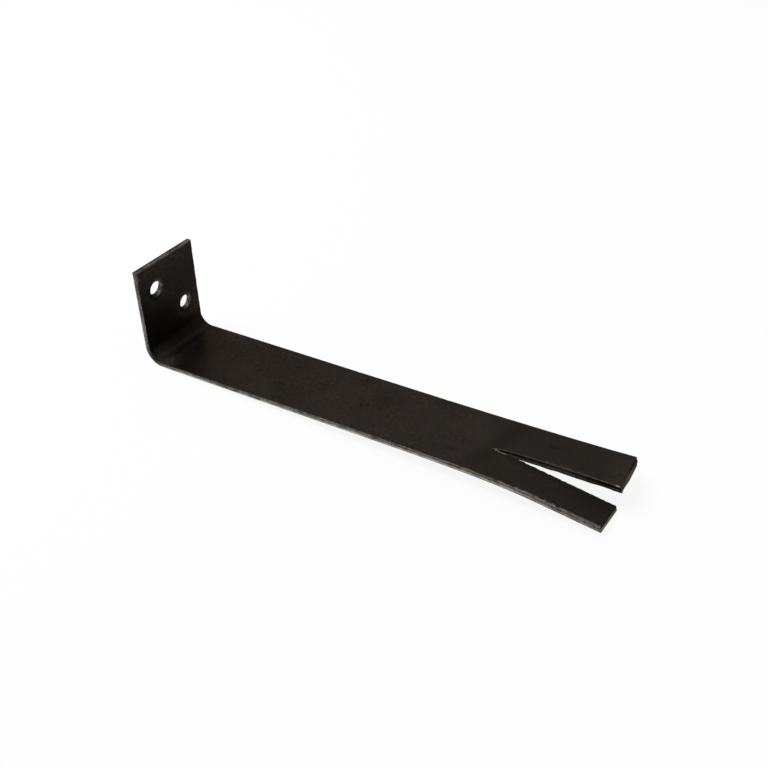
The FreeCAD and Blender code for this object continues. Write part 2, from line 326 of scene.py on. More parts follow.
@dataclass(frozen=True)
class EdgeStation:
    """How a cut edge looks at one place along it.

    The shine table gives how bare and bright the cut is by depth below the inner face, from 0 for black to 1
    for fresh metal. Beside the edge the scale of the inner face is rubbed off over rub_width, as far as
    rub_level says, or darkened by sooty marks and painted shade as far as soot_and_shade says. The burr stands
    up from the inner face.
    """

    along: float
    shine: tuple[tuple[float, float], ...]
    rub_width: float = 0.0
    rub_level: float = 0.0
    soot_and_shade: float = 0.0
    burr: float = 0.0


@dataclass(frozen=True)
class TornEdge:
    """How a shear leaves a cut face: rolled over where it went in, torn and burred where it came out.

    The burr is on the inner face and the rolled rim on the outer one. The rim isn't rolled within square of
    the strip's ends, which lie at 0 and at last along it, and it is whole from square_fade times that on.
    """

    layer: float
    stations: tuple[EdgeStation, ...]
    rollover: float = 0.25
    corner: float = 0.03
    square: float = 0.0
    square_fade: float = 3.0
    last: float = 177.0
    kerf: float = 0.0

    # Relief of the cut: torn grain, a finer grain whose sizes are shares of it, and nicks. Towards the outer
    # face it is smoother, over smooth_range in shares of the gauge, because the blade cut there before the
    # sheet tore.
    sunk: float = 0.015
    tear_depth: float = 0.03
    tear_length: float = 0.9
    tear_height: float = 0.35
    fine_length: float = 0.35
    fine_height: float = 0.5
    fine_share: float = 0.5
    smooth_range: tuple[float, float] = (0.45, 0.7)
    smooth_share: float = 0.75
    nick_depth: float = 0.06
    nick_length: float = 3.0
    nick_gauges: float = 3.0
    nick_range: tuple[float, float] = (0.32, 0.62)

    # The burr's beads, large and fine, as shares of its height, and how high they stand where they shine.
    bead_length: float = 1.0
    fine_bead: float = 0.4
    bead_level: float = 0.2
    bead_swell: float = 0.9
    fine_swell: float = 0.6
    full_burr: float = 0.06
    worn_range: tuple[float, float] = (0.6, 1.1)
    fleck_depth: float = 0.28

    # Light and dark streaks in the cut, each a length and a height.
    streak: float = 0.28
    streak_size: tuple[float, float] = (2.2, 0.5)
    fine_streak_size: tuple[float, float] = (0.7, 0.4)
    fine_streak_share: float = 0.6

    # The scale beside the cut: how its rubbed width wavers, each a share and a length, and how the sooty marks
    # and painted shade fade.
    rub_waver: tuple[float, float] = (0.4, 1.6)
    fine_rub_waver: tuple[float, float] = (0.35, 0.7)
    rub_fade: float = 0.1
    soot_and_shade_width: float = 0.4

    def profile(self, gauge: float, count: int) -> tuple[np.ndarray, np.ndarray]:
        """Outline of the cut face from the inner to the outer face.

        Args:
            gauge: Thickness of the sheet.
            count: Points between the two faces.

        Returns:
            How far each point lies behind the edge, and its depth below the inner face. The first and last
            points are on the two faces.
        """
        straight = gauge - self.rollover - self.corner
        way = np.linspace(0, straight + self.rollover * math.pi / 2, count + 1)[:count]
        turn = np.clip((way - straight) / self.rollover, 0, math.pi / 2)
        behind = self.rollover * (1 - np.cos(turn))
        depth = self.corner + np.minimum(way, straight) + self.rollover * np.sin(turn)
        return np.r_[self.corner, behind, self.rollover], np.r_[0, depth, gauge]

    def rolled(self, along: np.ndarray) -> np.ndarray:
        """How much of the rolled rim there is.

        Args:
            along: Places along the edge.

        Returns:
            Shares from 0 at the strip's square ends to 1, or 1 all along where the ends aren't square.
        """
        if self.square == 0:
            return np.ones_like(along)
        whole = self.square_fade * self.square
        return window(along, (self.square, whole), (self.last - whole, self.last - self.square))

    def sink(self, along: np.ndarray, depth: np.ndarray, gauge: float) -> np.ndarray:
        """How far the torn face lies behind its plane.

        Args:
            along: Places along the edge, one for each row.
            depth: Depths below the inner face, one for each column.
            gauge: Thickness of the sheet.

        Returns:
            Rows by columns of distances, none below 0.
        """
        s, d = np.meshgrid(along, depth, indexing="ij")
        start, stop = self.smooth_range
        torn = 1 - self.smooth_share * ramp(d, start * gauge, stop * gauge)
        grain = ripple(s / self.tear_length, d / self.tear_height, self.layer + EdgePattern.TEAR)
        fine = ripple(s / (self.fine_length * self.tear_length), d / (self.fine_height * self.tear_height),
                      self.layer + EdgePattern.FINE_TEAR)
        nick = ripple(s / self.nick_length, d / (self.nick_gauges * gauge), self.layer + EdgePattern.NICK)
        rough = (self.sunk + torn * self.tear_depth * (grain + self.fine_share * fine)
                 + self.nick_depth * ramp(nick, *self.nick_range) * torn)
        return np.clip(rough, 0, None)

    def between(self, along: np.ndarray, values: list[float] | np.ndarray) -> np.ndarray:
        """Values given at the stations, drawn out along the edge between them."""
        return np.interp(along, [station.along for station in self.stations], values)

    def lumps(self, along: np.ndarray, length: float, pattern: EdgePattern) -> np.ndarray:
        """Noise from -1 to 1 along the edge, in lumps of one length."""
        return ripple(along / length, np.zeros_like(along), self.layer + pattern)

    def beads(self, along: np.ndarray) -> np.ndarray:
        """Height of the burr's beads.

        Args:
            along: Places along the edge.

        Returns:
            Heights as shares of the burr's own, none below 0.
        """
        large = self.lumps(along, self.bead_length, EdgePattern.BEAD)
        fine = self.lumps(along, self.fine_bead * self.bead_length, EdgePattern.FINE_BEAD)
        return np.clip(self.bead_level + self.bead_swell * large + self.fine_swell * fine, 0, None)

    def burr(self, along: np.ndarray) -> np.ndarray:
        """Height of the burr over the inner face at places along the edge."""
        return self.between(along, [station.burr for station in self.stations]) * self.beads(along)

    def flecks(self, along: np.ndarray) -> np.ndarray:
        """How bright the burr's highest beads are worn, at places along the edge."""
        share = self.between(along, [station.burr for station in self.stations]) / self.full_burr
        return ramp(self.beads(along), *self.worn_range) * np.clip(share, 0, 1)

    def brightness(self, along: np.ndarray, depth: np.ndarray) -> np.ndarray:
        """How bare and bright the cut face is.

        Args:
            along: Places along the edge, one for each row.
            depth: Depths below the inner face, one for each column.

        Returns:
            Rows by columns of levels from 0 to 1.
        """
        table = np.stack([np.interp(depth, *zip(*station.shine)) for station in self.stations])
        level = np.stack([self.between(along, column) for column in table.T], axis=1)
        s, d = np.meshgrid(along, depth, indexing="ij")
        (length, height), (fine_length, fine_height) = self.streak_size, self.fine_streak_size
        large = ripple(s / length, d / height, self.layer + EdgePattern.STREAK)
        fine = ripple(s / fine_length, d / fine_height, self.layer + EdgePattern.FINE_STREAK)
        streaked = level * (1 + self.streak * (large + self.fine_streak_share * fine))
        fleck = self.flecks(along)[:, None] * np.clip(1 - d / self.fleck_depth, 0, 1)
        return np.clip(np.maximum(streaked, fleck), 0, 1)

    def rubbed(self, along: np.ndarray, distance: np.ndarray) -> np.ndarray:
        """How far the scale of the inner face is rubbed off near the edge.

        Args:
            along: Places along the edge, one for each row.
            distance: Distances from the edge, one for each column.

        Returns:
            Rows by columns of levels from 0 to 1.
        """
        (waver, length), (fine_waver, fine_length) = self.rub_waver, self.fine_rub_waver
        width = self.between(along, [station.rub_width for station in self.stations])
        width = width * (1 + waver * self.lumps(along, length, EdgePattern.RUB)
                         + fine_waver * self.lumps(along, fine_length, EdgePattern.FINE_RUB))
        level = self.between(along, [station.rub_level for station in self.stations])
        level = np.maximum(level, self.flecks(along))
        return level[:, None] * np.clip((width[:, None] - distance[None, :]) / self.rub_fade, 0, 1)

    def sooted_and_shaded(self, along: np.ndarray, distance: np.ndarray) -> np.ndarray:
        """How far sooty marks and painted shade darken the inner face's scale near the edge, as rows by
        columns of levels.
        """
        level = self.between(along, [station.soot_and_shade for station in self.stations])
        return level[:, None] * np.clip(1 - distance[None, :] / self.soot_and_shade_width, 0, 1)


@dataclass(frozen=True)
class HoleLoop:
    """One loop of points round a hole, with the finish of the band that leads up to it."""

    points: np.ndarray
    zone: Zone
    bare: float | np.ndarray = 0.0


@dataclass(frozen=True)
class PunchedHole:
    """A hole punched from the outer face, a little askew, with a raised lip where the punch came out.

    The shifts move the two rims across the strip and up from the hole's own centre. Each entry of lights is
    a painted highlight, a bright patch of the wall: its middle, an angle in degrees from the strip's rear
    upwards, its spread and its level. The lip's rim is worn bright at worn_turn. The shares and turns say
    where the loops of points lie: up the lip, through the wall and round the two small rounds.
    """

    across: float
    height: float
    radius: float
    front_shift: tuple[float, float] = (0.0, 0.0)
    front_growth: float = 0.0
    back_shift: tuple[float, float] = (0.0, 0.0)
    back_growth: float = 0.0
    lip_width: float = 1.1
    lip_height: float = 0.14
    lip_round: float = 0.1
    rollover: float = 0.35
    rim_fade: float = 0.08
    # Painted highlights: bright patches on the wall where it catches the light.
    lights: tuple[tuple[float, float, float], ...] = ()
    dull_level: float = 0.16
    worn_turn: float = 70.0
    worn_spread: float = 12.0
    worn_level: float = 0.8
    lip_rub: float = 0.1
    lip_rub_turn: float = 20.0
    lip_rub_spread: float = 60.0
    lip_power: float = 1.5
    lip_shares: tuple[float, ...] = (0.2, 0.4, 0.6, 0.8, 1.0)
    wall_shares: tuple[float, ...] = (0.15, 0.3, 0.45, 0.6, 0.8, 1.0)
    round_turns: tuple[float, ...] = (30.0, 60.0, 90.0)

    def ring(self, turn: np.ndarray, share: float, growth: float, x: float) -> np.ndarray:
        """One loop of points round the hole.

        Args:
            turn: Angles of the points.
            share: 0 for the front rim's place and size, 1 for the back rim's.
            growth: How much wider than the rim the loop is.
            x: Where the loop lies through the sheet.

        Returns:
            The loop's points.
        """
        across, height = (front + share * (back - front)
                          for front, back in zip(self.front_shift, self.back_shift))
        size = self.radius + (1 - share) * self.front_growth + share * self.back_growth + growth
        return np.stack([np.full_like(turn, x), self.across + across + size * np.cos(turn),
                         self.height + height + size * np.sin(turn)], axis=1)

    def peak(self, turn: np.ndarray, middle: float, spread: float) -> np.ndarray:
        """A level round the hole that is 1 at one angle and falls to 0 away from it."""
        away = np.degrees(np.angle(np.exp(1j * (turn - math.radians(middle)))))
        return np.exp(-(away / spread) ** 2)

    def lining(self, turn: np.ndarray, face: float, back: float) -> list[HoleLoop]:
        """Loops of points from the foot of the lip on the inner face to the rolled rim on the outer one.

        Args:
            turn: Angles of the points.
            face: Where the inner face lies along X.
            back: Where the outer face lies along X.

        Returns:
            The loops, in order through the hole.
        """
        quarter = np.radians(self.round_turns)
        crest, foot = face + self.lip_height, back + self.rollover
        worn = self.worn_level * self.peak(turn, self.worn_turn, self.worn_spread)
        # The wall's level, raised by the painted highlights in lights.
        wall = np.clip(self.dull_level + sum(level * self.peak(turn, middle, spread)
                                             for middle, spread, level in self.lights), 0, 1)
        rubbed = self.lip_rub * self.peak(turn, self.lip_rub_turn, self.lip_rub_spread)
        loops = [HoleLoop(self.ring(turn, 0, self.lip_width, face), Zone.SCALE)]
        for share in self.lip_shares:
            growth = self.lip_width + share * (self.lip_round - self.lip_width)
            points = self.ring(turn, 0, growth, face + self.lip_height * share ** self.lip_power)
            loops.append(HoleLoop(points, Zone.SCALE, np.maximum(rubbed, worn if share == 1 else 0.0)))
        for angle in quarter:
            growth, drop = self.lip_round * (1 - math.sin(angle)), self.lip_round * (1 - math.cos(angle))
            points = self.ring(turn, 0, growth, crest - drop)
            loops.append(HoleLoop(points, Zone.SHEARED, np.maximum(wall, worn)))
        start = crest - self.lip_round
        for share in self.wall_shares:
            points = self.ring(turn, share, 0, start + share * (foot - start))
            loops.append(HoleLoop(points, Zone.SHEARED, wall))
        for angle in quarter:
            growth, drop = self.rollover * (1 - math.cos(angle)), self.rollover * math.sin(angle)
            loops.append(HoleLoop(self.ring(turn, 1, growth, foot - drop), Zone.SHEARED, wall))
        loops.append(HoleLoop(self.ring(turn, 1, self.rollover + self.rim_fade, back), Zone.SCALE))
        return loops


@dataclass(frozen=True)
class Blemish:
    """A mark in the scale: its place on the flat sheet, half its size, its rise, its sooty darkening and
    painted shade, its matt scuff and its painted light.
    """

    along: float
    across: float
    size: tuple[float, float]
    rise: float = 0.0
    soot_and_shade: float = 0.0
    scuff: float = 0.0
    painted_light: float = 0.0

    def spread(self, along: np.ndarray, across: np.ndarray) -> np.ndarray:
        """How much of the mark each place on the sheet has, from 0 to 1."""
        return np.exp(-((along - self.along) / self.size[0]) ** 2
                      - ((across - self.across) / self.size[1]) ** 2)


@dataclass
class Panel:
    """A stretch of the sheet as a grid: rows along the strip, columns across it from front to rear.

    Along and across are the places of the rows and columns on the flat sheet. Inner holds the points of the
    inner face, normal the way that each row faces, and lean how far the sheet runs out along X for each
    millimetre of depth.
    """

    inner: np.ndarray
    normal: np.ndarray
    along: np.ndarray
    across: np.ndarray
    lean: np.ndarray

    def at(self, depth: float | np.ndarray, column: int | None = None) -> np.ndarray:
        """Points at a depth below the inner face.

        Args:
            depth: Depths for the whole panel, or those to follow down the one column.
            column: The column to follow, or None for the whole panel.

        Returns:
            Rows by columns, or rows by depths, of points.
        """
        if column is None:
            inner, lean = self.inner, self.lean
            depths = np.broadcast_to(depth, inner.shape[:2])
        else:
            inner, lean = self.inner[:, [column]], self.lean[:, [column]]
            depths = np.broadcast_to(depth, (len(self.along), len(np.atleast_1d(depth))))
        points = inner - self.normal[:, None, :] * depths[..., None]
        points[..., 0] += lean * depths
        return points

    def grid(self) -> tuple[np.ndarray, np.ndarray]:
        """Places along and across the flat sheet, each as rows by columns."""
        s, v = np.meshgrid(self.along, self.across, indexing="ij")
        return s, v

    def places(self, depth: float) -> np.ndarray:
        """Places on the flat sheet of all points at one depth."""
        s, v = self.grid()
        return np.stack([s, v, np.full_like(s, depth)], axis=-1)

    def distance(self, side: Side) -> np.ndarray:
        """How far each column lies from one side."""
        return np.abs(self.across - self.across[side.column])


@dataclass
class LaidPanel:
    """A panel as the shears left it: the points of its two faces and of its rims, front and rear."""

    panel: Panel
    edges: tuple[TornEdge, TornEdge]
    inner: np.ndarray
    outer: np.ndarray
    rims: list[np.ndarray]

    def rubbed(self) -> np.ndarray:
        """How far the scale of the inner face is rubbed off beside its two edges."""
        return np.maximum(*(edge.rubbed(self.panel.along, self.panel.distance(side))
                            for side, edge in zip(Side, self.edges)))

    def sooted_and_shaded(self) -> np.ndarray:
        """How far sooty marks and painted shade darken the inner face's scale beside its two edges."""
        return np.maximum(*(edge.sooted_and_shaded(self.panel.along, self.panel.distance(side))
                            for side, edge in zip(Side, self.edges)))

    def draw_back(self, row: int, outward: np.ndarray, edge: TornEdge) -> None:
        """Draw the last row of both faces back from a sheared end, for a small round there."""
        self.inner[row] -= edge.corner * outward
        self.outer[row] -= edge.rollover * outward


@dataclass(frozen=True)
class FoldMarksAndShade:
    """Darker, duller scale along the bend, where folding cracks it and painted shade darkens it further, and
    painted shade on the crease where the tails tilt down from the strip.

    Rise and fall are measured along the sheet from where the bend starts. Towards the rear, over rear_range,
    the bend is marked less. The crease is given as places along X and across the strip, and crease_shade says
    how dark its painted shade is.
    """

    level: float = 0.9
    rise: tuple[float, float] = (-2.5, 1.2)
    fall: tuple[float, float] = (3.0, 8.0)
    rear_loss: float = 0.3
    rear_range: tuple[float, float] = (6.0, 11.0)
    crease: tuple[tuple[float, float], ...] = ((108.5, -12.7), (112.5, -6.1), (115.0, -1.4), (115.9, 4.8),
                                               (117.8, 12.7))
    crease_width: float = 2.6
    crease_shade: float = 0.22
    flat_normal: float = 0.99

    def levels(self, panel: Panel, bend: float) -> np.ndarray:
        """How far cracks along the bend and painted shade darken and dull the inner face's scale.

        Args:
            panel: The panel to mark.
            bend: Where the bend starts along the flat sheet.

        Returns:
            Rows by columns of levels, 0 where the scale isn't darkened.
        """
        s, v = panel.grid()
        rise, fall = ((bend + start, bend + stop) for start, stop in (self.rise, self.fall))
        # The bend: cracks in the scale and painted shade, less towards the rear.
        folded = window(s, rise, fall) * (1 - self.rear_loss * ramp(v, *self.rear_range))
        # The crease: painted shade on the flat strip and tails, where the tails tilt down.
        places, line = zip(*self.crease)
        away = panel.inner[..., 0] - np.interp(v, line, places)
        parted = self.crease_shade * np.exp(-(away / self.crease_width) ** 2)
        return self.level * folded + np.where(panel.normal[:, None, 2] > self.flat_normal, parted, 0)


@dataclass(frozen=True)
class HangingBurr:
    """The burr that hangs under the rear tail, along the slit and across its sheared end.

    Along the slit it wavers, and it dies away over width. Across the end it bulges between rise and fall,
    places across the strip, and the end leans out there.
    """

    slit_drop: float = 0.45
    level: float = 0.75
    waver: float = 0.4
    waver_length: float = 2.5
    width: float = 0.5
    end_drop: float = 0.35
    end_lean: float = 0.22
    rise: tuple[float, float] = (0.0, 5.0)
    fall: tuple[float, float] = (11.0, 12.6)

    def pull_down(self, laid: LaidPanel, opened: np.ndarray, fade: np.ndarray) -> None:
        """Pull the rear tail's outer face down into the burr.

        Args:
            laid: The rear tail, whose front side is the slit.
            opened: How far each row lies beyond the slit's root.
            fade: For each row, how far the slit is open.
        """
        tail, outer = laid.panel, laid.outer
        wavering = ripple(opened / self.waver_length, np.zeros_like(opened), SheetPattern.HANGING_BURR)
        hang = fade * self.slit_drop * (self.level + self.waver * wavering)
        outer[..., 2] -= hang[:, None] * np.exp(-tail.distance(Side.FRONT) / self.width)[None, :]
        laid.rims[0][:, -1] = outer[:, 0]
        bulge = window(tail.across, self.rise, self.fall)
        back = np.abs(tail.inner[-1, :, 0][None, :] - tail.inner[..., 0])
        outer[..., 2] -= self.end_drop * bulge[None, :] * np.exp(-back / self.width)
        outer[..., 0] += self.end_lean * bulge[None, :] * np.exp(-back / self.width)


@dataclass(frozen=True)
class SlitFlecks:
    """Bright flecks on the front tail beside the slit's root, where the sheet tore as the tails were parted.

    They lie between rise and fall, measured from the root, and fade out over width from the slit.
    """

    rise: tuple[float, float] = (0.2, 0.8)
    fall: tuple[float, float] = (3.0, 5.5)
    level: float = 0.5
    contrast: float = 1.2
    length: float = 0.5
    core: float = 1.2
    width: float = 0.35

    def levels(self, opened: np.ndarray, distance: np.ndarray) -> np.ndarray:
        """How bright the flecks are.

        Args:
            opened: How far each row lies beyond the slit's root.
            distance: How far each column lies from the slit.

        Returns:
            Rows by columns of levels from 0 to 1.
        """
        spots = ripple(opened / self.length, np.zeros_like(opened), SheetPattern.SLIT_FLECKS)
        flecks = window(opened, self.rise, self.fall) * np.clip(self.level + self.contrast * spots, 0, 1)
        return flecks[:, None] * np.clip(self.core - distance / self.width, 0, 1)[None, :]


@dataclass(frozen=True)
class MillScale:
    """Mill scale on hot-rolled mild steel, the oxide skin that the rolls press flat.

    It is a brown-black skin with the soft gloss of dense oxide and a little matt dust on it: it mirrors its
    surroundings dimly, is cloudy where the rolls pressed it unevenly, duller and darker where folding cracks
    it and in painted shade, rubbed to bare metal on burrs, and lighter where painted light is laid on it.
    """

    black: str = "#1c1a18"
    brown: str = "#292523"
    olive: str = "#22211c"
    violet: str = "#221f1f"
    # Darker colour where folding cracks the scale, and for painted shade and sooty marks.
    cracked_and_shaded: str = "#0f0d0b"
    dusty: str = "#292521"
    # Bare metal where the scale is rubbed off, and the colour of painted light and of a painted highlight at
    # the rear tail's tip.
    rubbed: str = "#857e73"
    edge_tint: str = "#b4aea8"

    # Dense oxide mirrors as a dull metal does, so its gloss is a share of metallic, and the gloss that the
    # shader gives to plastics is off. Streaks from the rolls make it a little glossier or duller.
    gloss_share: float = 0.85
    scuffed_gloss: float = 0.3
    plastic_gloss: float = 0.0
    dust_share: float = 0.55
    roughness: float = 0.34
    roughness_change: tuple[float, float] = (-0.04, 0.05)
    cracked_roughness: float = 0.5
    scuffed_roughness: float = 0.5

    # Pattern sizes in millimetres: clouds and tinges as wide as uneven rolling and cooling leave them, and
    # streaks along the way of rolling, stretched to five times their width. The oxide's own grain is under a
    # tenth of a millimetre, finer than a pixel, so it is drawn as coarse as it needs to show.
    cloud: float = 16.0
    tinge: float = 11.0
    streak: float = 1.6
    streak_stretch: float = 0.2
    grain: float = 1.1
    grain_height: float = 0.02
    grain_bump: float = 0.25

    # How much finer detail each pattern has.
    cloud_detail: float = 6.0
    cloud_roughness: float = 0.7
    tinge_detail: float = 2.0
    streak_detail: float = 4.0
    grain_detail: float = 1.0

    # The patterns' values at which each effect starts and is full.
    cloud_range: tuple[float, float] = (0.72, 1.28)
    olive_range: tuple[float, float] = (0.5, 0.74)
    violet_range: tuple[float, float] = (0.5, 0.26)
    streak_range: tuple[float, float] = (0.3, 0.7)
    ragged_range: tuple[float, float] = (0.36, 0.6)
    ragged_levels: tuple[float, float] = (0.5, 1.4)

    def material(self) -> bpy.types.Material:
        """Make the scale's material.

        Returns:
            The material, whose patterns lie on the flat sheet.
        """
        made = bpy.data.materials.new("mill_scale")
        made.use_nodes = True
        tree = made.node_tree
        shader = tree.nodes["Principled BSDF"]
        place = add_node(tree, "Attribute", attribute_name=SHEET_PLACE).outputs["Vector"]
        rubbed, flexed, scuffed = (
            add_node(tree, "Attribute", attribute_name=name).outputs["Fac"] for name in MARKS)
        along_rolling = add_node(tree, "Mapping", {
            "Vector": place, "Scale": (self.streak_stretch, 1.0, 1.0)}).outputs["Vector"]
        cloud = add_node(tree, "TexNoise", {
            "Vector": place, "Scale": 1 / self.cloud, "Detail": self.cloud_detail,
            "Roughness": self.cloud_roughness}).outputs["Fac"]
        hue, streak, grain = (
            add_node(tree, "TexNoise", {"Vector": way, "Scale": 1 / size, "Detail": detail}).outputs["Fac"]
            for way, size, detail in ((place, self.tinge, self.tinge_detail),
                                      (along_rolling, self.streak, self.streak_detail),
                                      (place, self.grain, self.grain_detail)))
        mottle = add_node(tree, "Math", {0: cloud, 1: grain}, operation="ADD").outputs[0]
        cloudy, greenish, bluish = (
            add_node(tree, "MapRange", {
                "Value": value, "From Min": start, "From Max": full}).outputs["Result"]
            for value, (start, full) in ((mottle, self.cloud_range), (hue, self.olive_range),
                                         (hue, self.violet_range)))
        dust = add_node(tree, "MapRange", {"Value": scuffed, "To Max": self.dust_share}).outputs["Result"]
        (start, full), (least, most) = self.ragged_range, self.ragged_levels
        ragged = add_node(tree, "MapRange", {
            "Value": grain, "From Min": start, "From Max": full, "To Min": least, "To Max": most})
        # Bare metal where the scale is rubbed off, and painted light.
        scraped = add_node(tree, "Math", {
            0: rubbed, 1: ragged.outputs["Result"]}, operation="MULTIPLY", use_clamp=True).outputs[0]
        colour: Any = linear(self.black)
        for share, tint in ((cloudy, self.brown), (greenish, self.olive), (bluish, self.violet),
                            (dust, self.dusty), (flexed, self.cracked_and_shaded), (scraped, self.rubbed)):
            mixed = add_node(tree, "Mix", {
                MIX_SHARE: share, MIX_FROM: colour, MIX_TO: linear(tint)}, data_type="RGBA")
            colour = mixed.outputs[MIX_COLOUR]
        (start, full), (glossier, duller) = self.streak_range, self.roughness_change
        rolled = add_node(tree, "MapRange", {
            "Value": streak, "From Min": start, "From Max": full,
            "To Min": self.roughness + glossier, "To Max": self.roughness + duller})
        creased = add_node(tree, "MapRange", {
            "Value": flexed, "To Min": rolled.outputs["Result"], "To Max": self.cracked_roughness})
        rough = add_node(tree, "MapRange", {
            "Value": scuffed, "To Min": creased.outputs["Result"], "To Max": self.scuffed_roughness})
        gloss = add_node(tree, "MapRange", {
            "Value": scuffed, "To Min": self.gloss_share, "To Max": self.scuffed_gloss})
        bump = add_node(tree, "Bump", {
            "Height": grain, "Strength": self.grain_bump, "Distance": self.grain_height * MM})
        shader.inputs["Specular IOR Level"].default_value = self.plastic_gloss
        shader.inputs["Specular Tint"].default_value = linear(self.edge_tint)
        tree.links.new(colour, shader.inputs["Base Color"])
        tree.links.new(gloss.outputs["Result"], shader.inputs["Metallic"])
        tree.links.new(rough.outputs["Result"], shader.inputs["Roughness"])
        tree.links.new(bump.outputs["Normal"], shader.inputs["Normal"])
        return made


@dataclass(frozen=True)
class ShearedSteel:
    """Bare mild steel where the sheet was sheared or punched, dulled by a little rust.

    The cut is grey metal with upright tear marks, brownish where it has begun to rust, dark where scale was
    dragged over it, bright on the fresh burr, and bright in painted highlights on the hole walls and at the
    rear tail's tip.
    """

    # Fresh metal on burrs, and the colour of painted highlights on the hole walls and the rear tail's tip.
    bright: str = "#b8b4ae"
    grey: str = "#77736e"
    brown: str = "#59534c"
    dark: str = "#0d0b09"
    edge_tint: str = "#948f88"
    metallic: float = 1.0
    roughness: float = 0.5
    roughness_change: tuple[float, float] = (0.1, -0.08)

    # Pattern sizes in millimetres: rust in patches of a few millimetres, and tear marks twice as tall as they
    # are wide. Real tear marks are about a tenth of a millimetre wide, finer than a pixel, so they are drawn
    # as coarse as they need to show.
    patch: float = 4.0
    tear: float = 0.45
    tear_stretch: float = 0.5
    tear_height: float = 0.05
    tear_bump: float = 0.5
    detail: float = 3.0

    # The patterns' values, or the cut's brightness, at which each effect starts and is full.
    rust_range: tuple[float, float] = (0.42, 0.6)
    pit_range: tuple[float, float] = (0.5, 0.32)
    pit_share: float = 0.6
    tear_range: tuple[float, float] = (0.3, 0.7)
    clean_range: tuple[float, float] = (0.0, 0.5)
    fresh_range: tuple[float, float] = (0.55, 1.0)

    def material(self) -> bpy.types.Material:
        """Make the cut metal's material.

        Returns:
            The material, whose patterns lie on the flat sheet.
        """
        made = bpy.data.materials.new("sheared_steel")
        made.use_nodes = True
        tree = made.node_tree
        shader = tree.nodes["Principled BSDF"]
        place = add_node(tree, "Attribute", attribute_name=SHEET_PLACE).outputs["Vector"]
        level = add_node(tree, "Attribute", attribute_name=BARE_AND_PAINTED_LIGHT).outputs["Fac"]
        upright = add_node(tree, "Mapping", {
            "Vector": place, "Scale": (1.0, 1.0, self.tear_stretch)}).outputs["Vector"]
        tear, patch = (
            add_node(tree, "TexNoise", {
                "Vector": way, "Scale": 1 / size, "Detail": self.detail}).outputs["Fac"]
            for way, size in ((upright, self.tear), (place, self.patch)))
        rusty, pitted, clean, fresh = (
            add_node(tree, "MapRange", {
                "Value": value, "From Min": start, "From Max": full, "To Max": most}).outputs["Result"]
            for value, (start, full), most in (
                (patch, self.rust_range, 1.0), (tear, self.pit_range, self.pit_share),
                (level, self.clean_range, 1.0), (level, self.fresh_range, 1.0)))
        colour: Any = linear(self.grey)
        for share, tint in ((rusty, self.brown), (pitted, self.dark)):
            mixed = add_node(tree, "Mix", {
                MIX_SHARE: share, MIX_FROM: colour, MIX_TO: linear(tint)}, data_type="RGBA")
            colour = mixed.outputs[MIX_COLOUR]
        torn = add_node(tree, "Mix", {
            MIX_SHARE: clean, MIX_FROM: linear(self.dark), MIX_TO: colour}, data_type="RGBA")
        # Fresh metal on burrs, and the painted highlights.
        burred = add_node(tree, "Mix", {
            MIX_SHARE: fresh, MIX_FROM: torn.outputs[MIX_COLOUR], MIX_TO: linear(self.bright)},
            data_type="RGBA")
        (start, full), (duller, glossier) = self.tear_range, self.roughness_change
        rough = add_node(tree, "MapRange", {
            "Value": tear, "From Min": start, "From Max": full,
            "To Min": self.roughness + duller, "To Max": self.roughness + glossier})
        bump = add_node(tree, "Bump", {
            "Height": tear, "Strength": self.tear_bump, "Distance": self.tear_height * MM})
        shader.inputs["Metallic"].default_value = self.metallic
        shader.inputs["Specular Tint"].default_value = linear(self.edge_tint)
        tree.links.new(burred.outputs[MIX_COLOUR], shader.inputs["Base Color"])
        tree.links.new(rough.outputs["Result"], shader.inputs["Roughness"])
        tree.links.new(bump.outputs["Normal"], shader.inputs["Normal"])
        return made


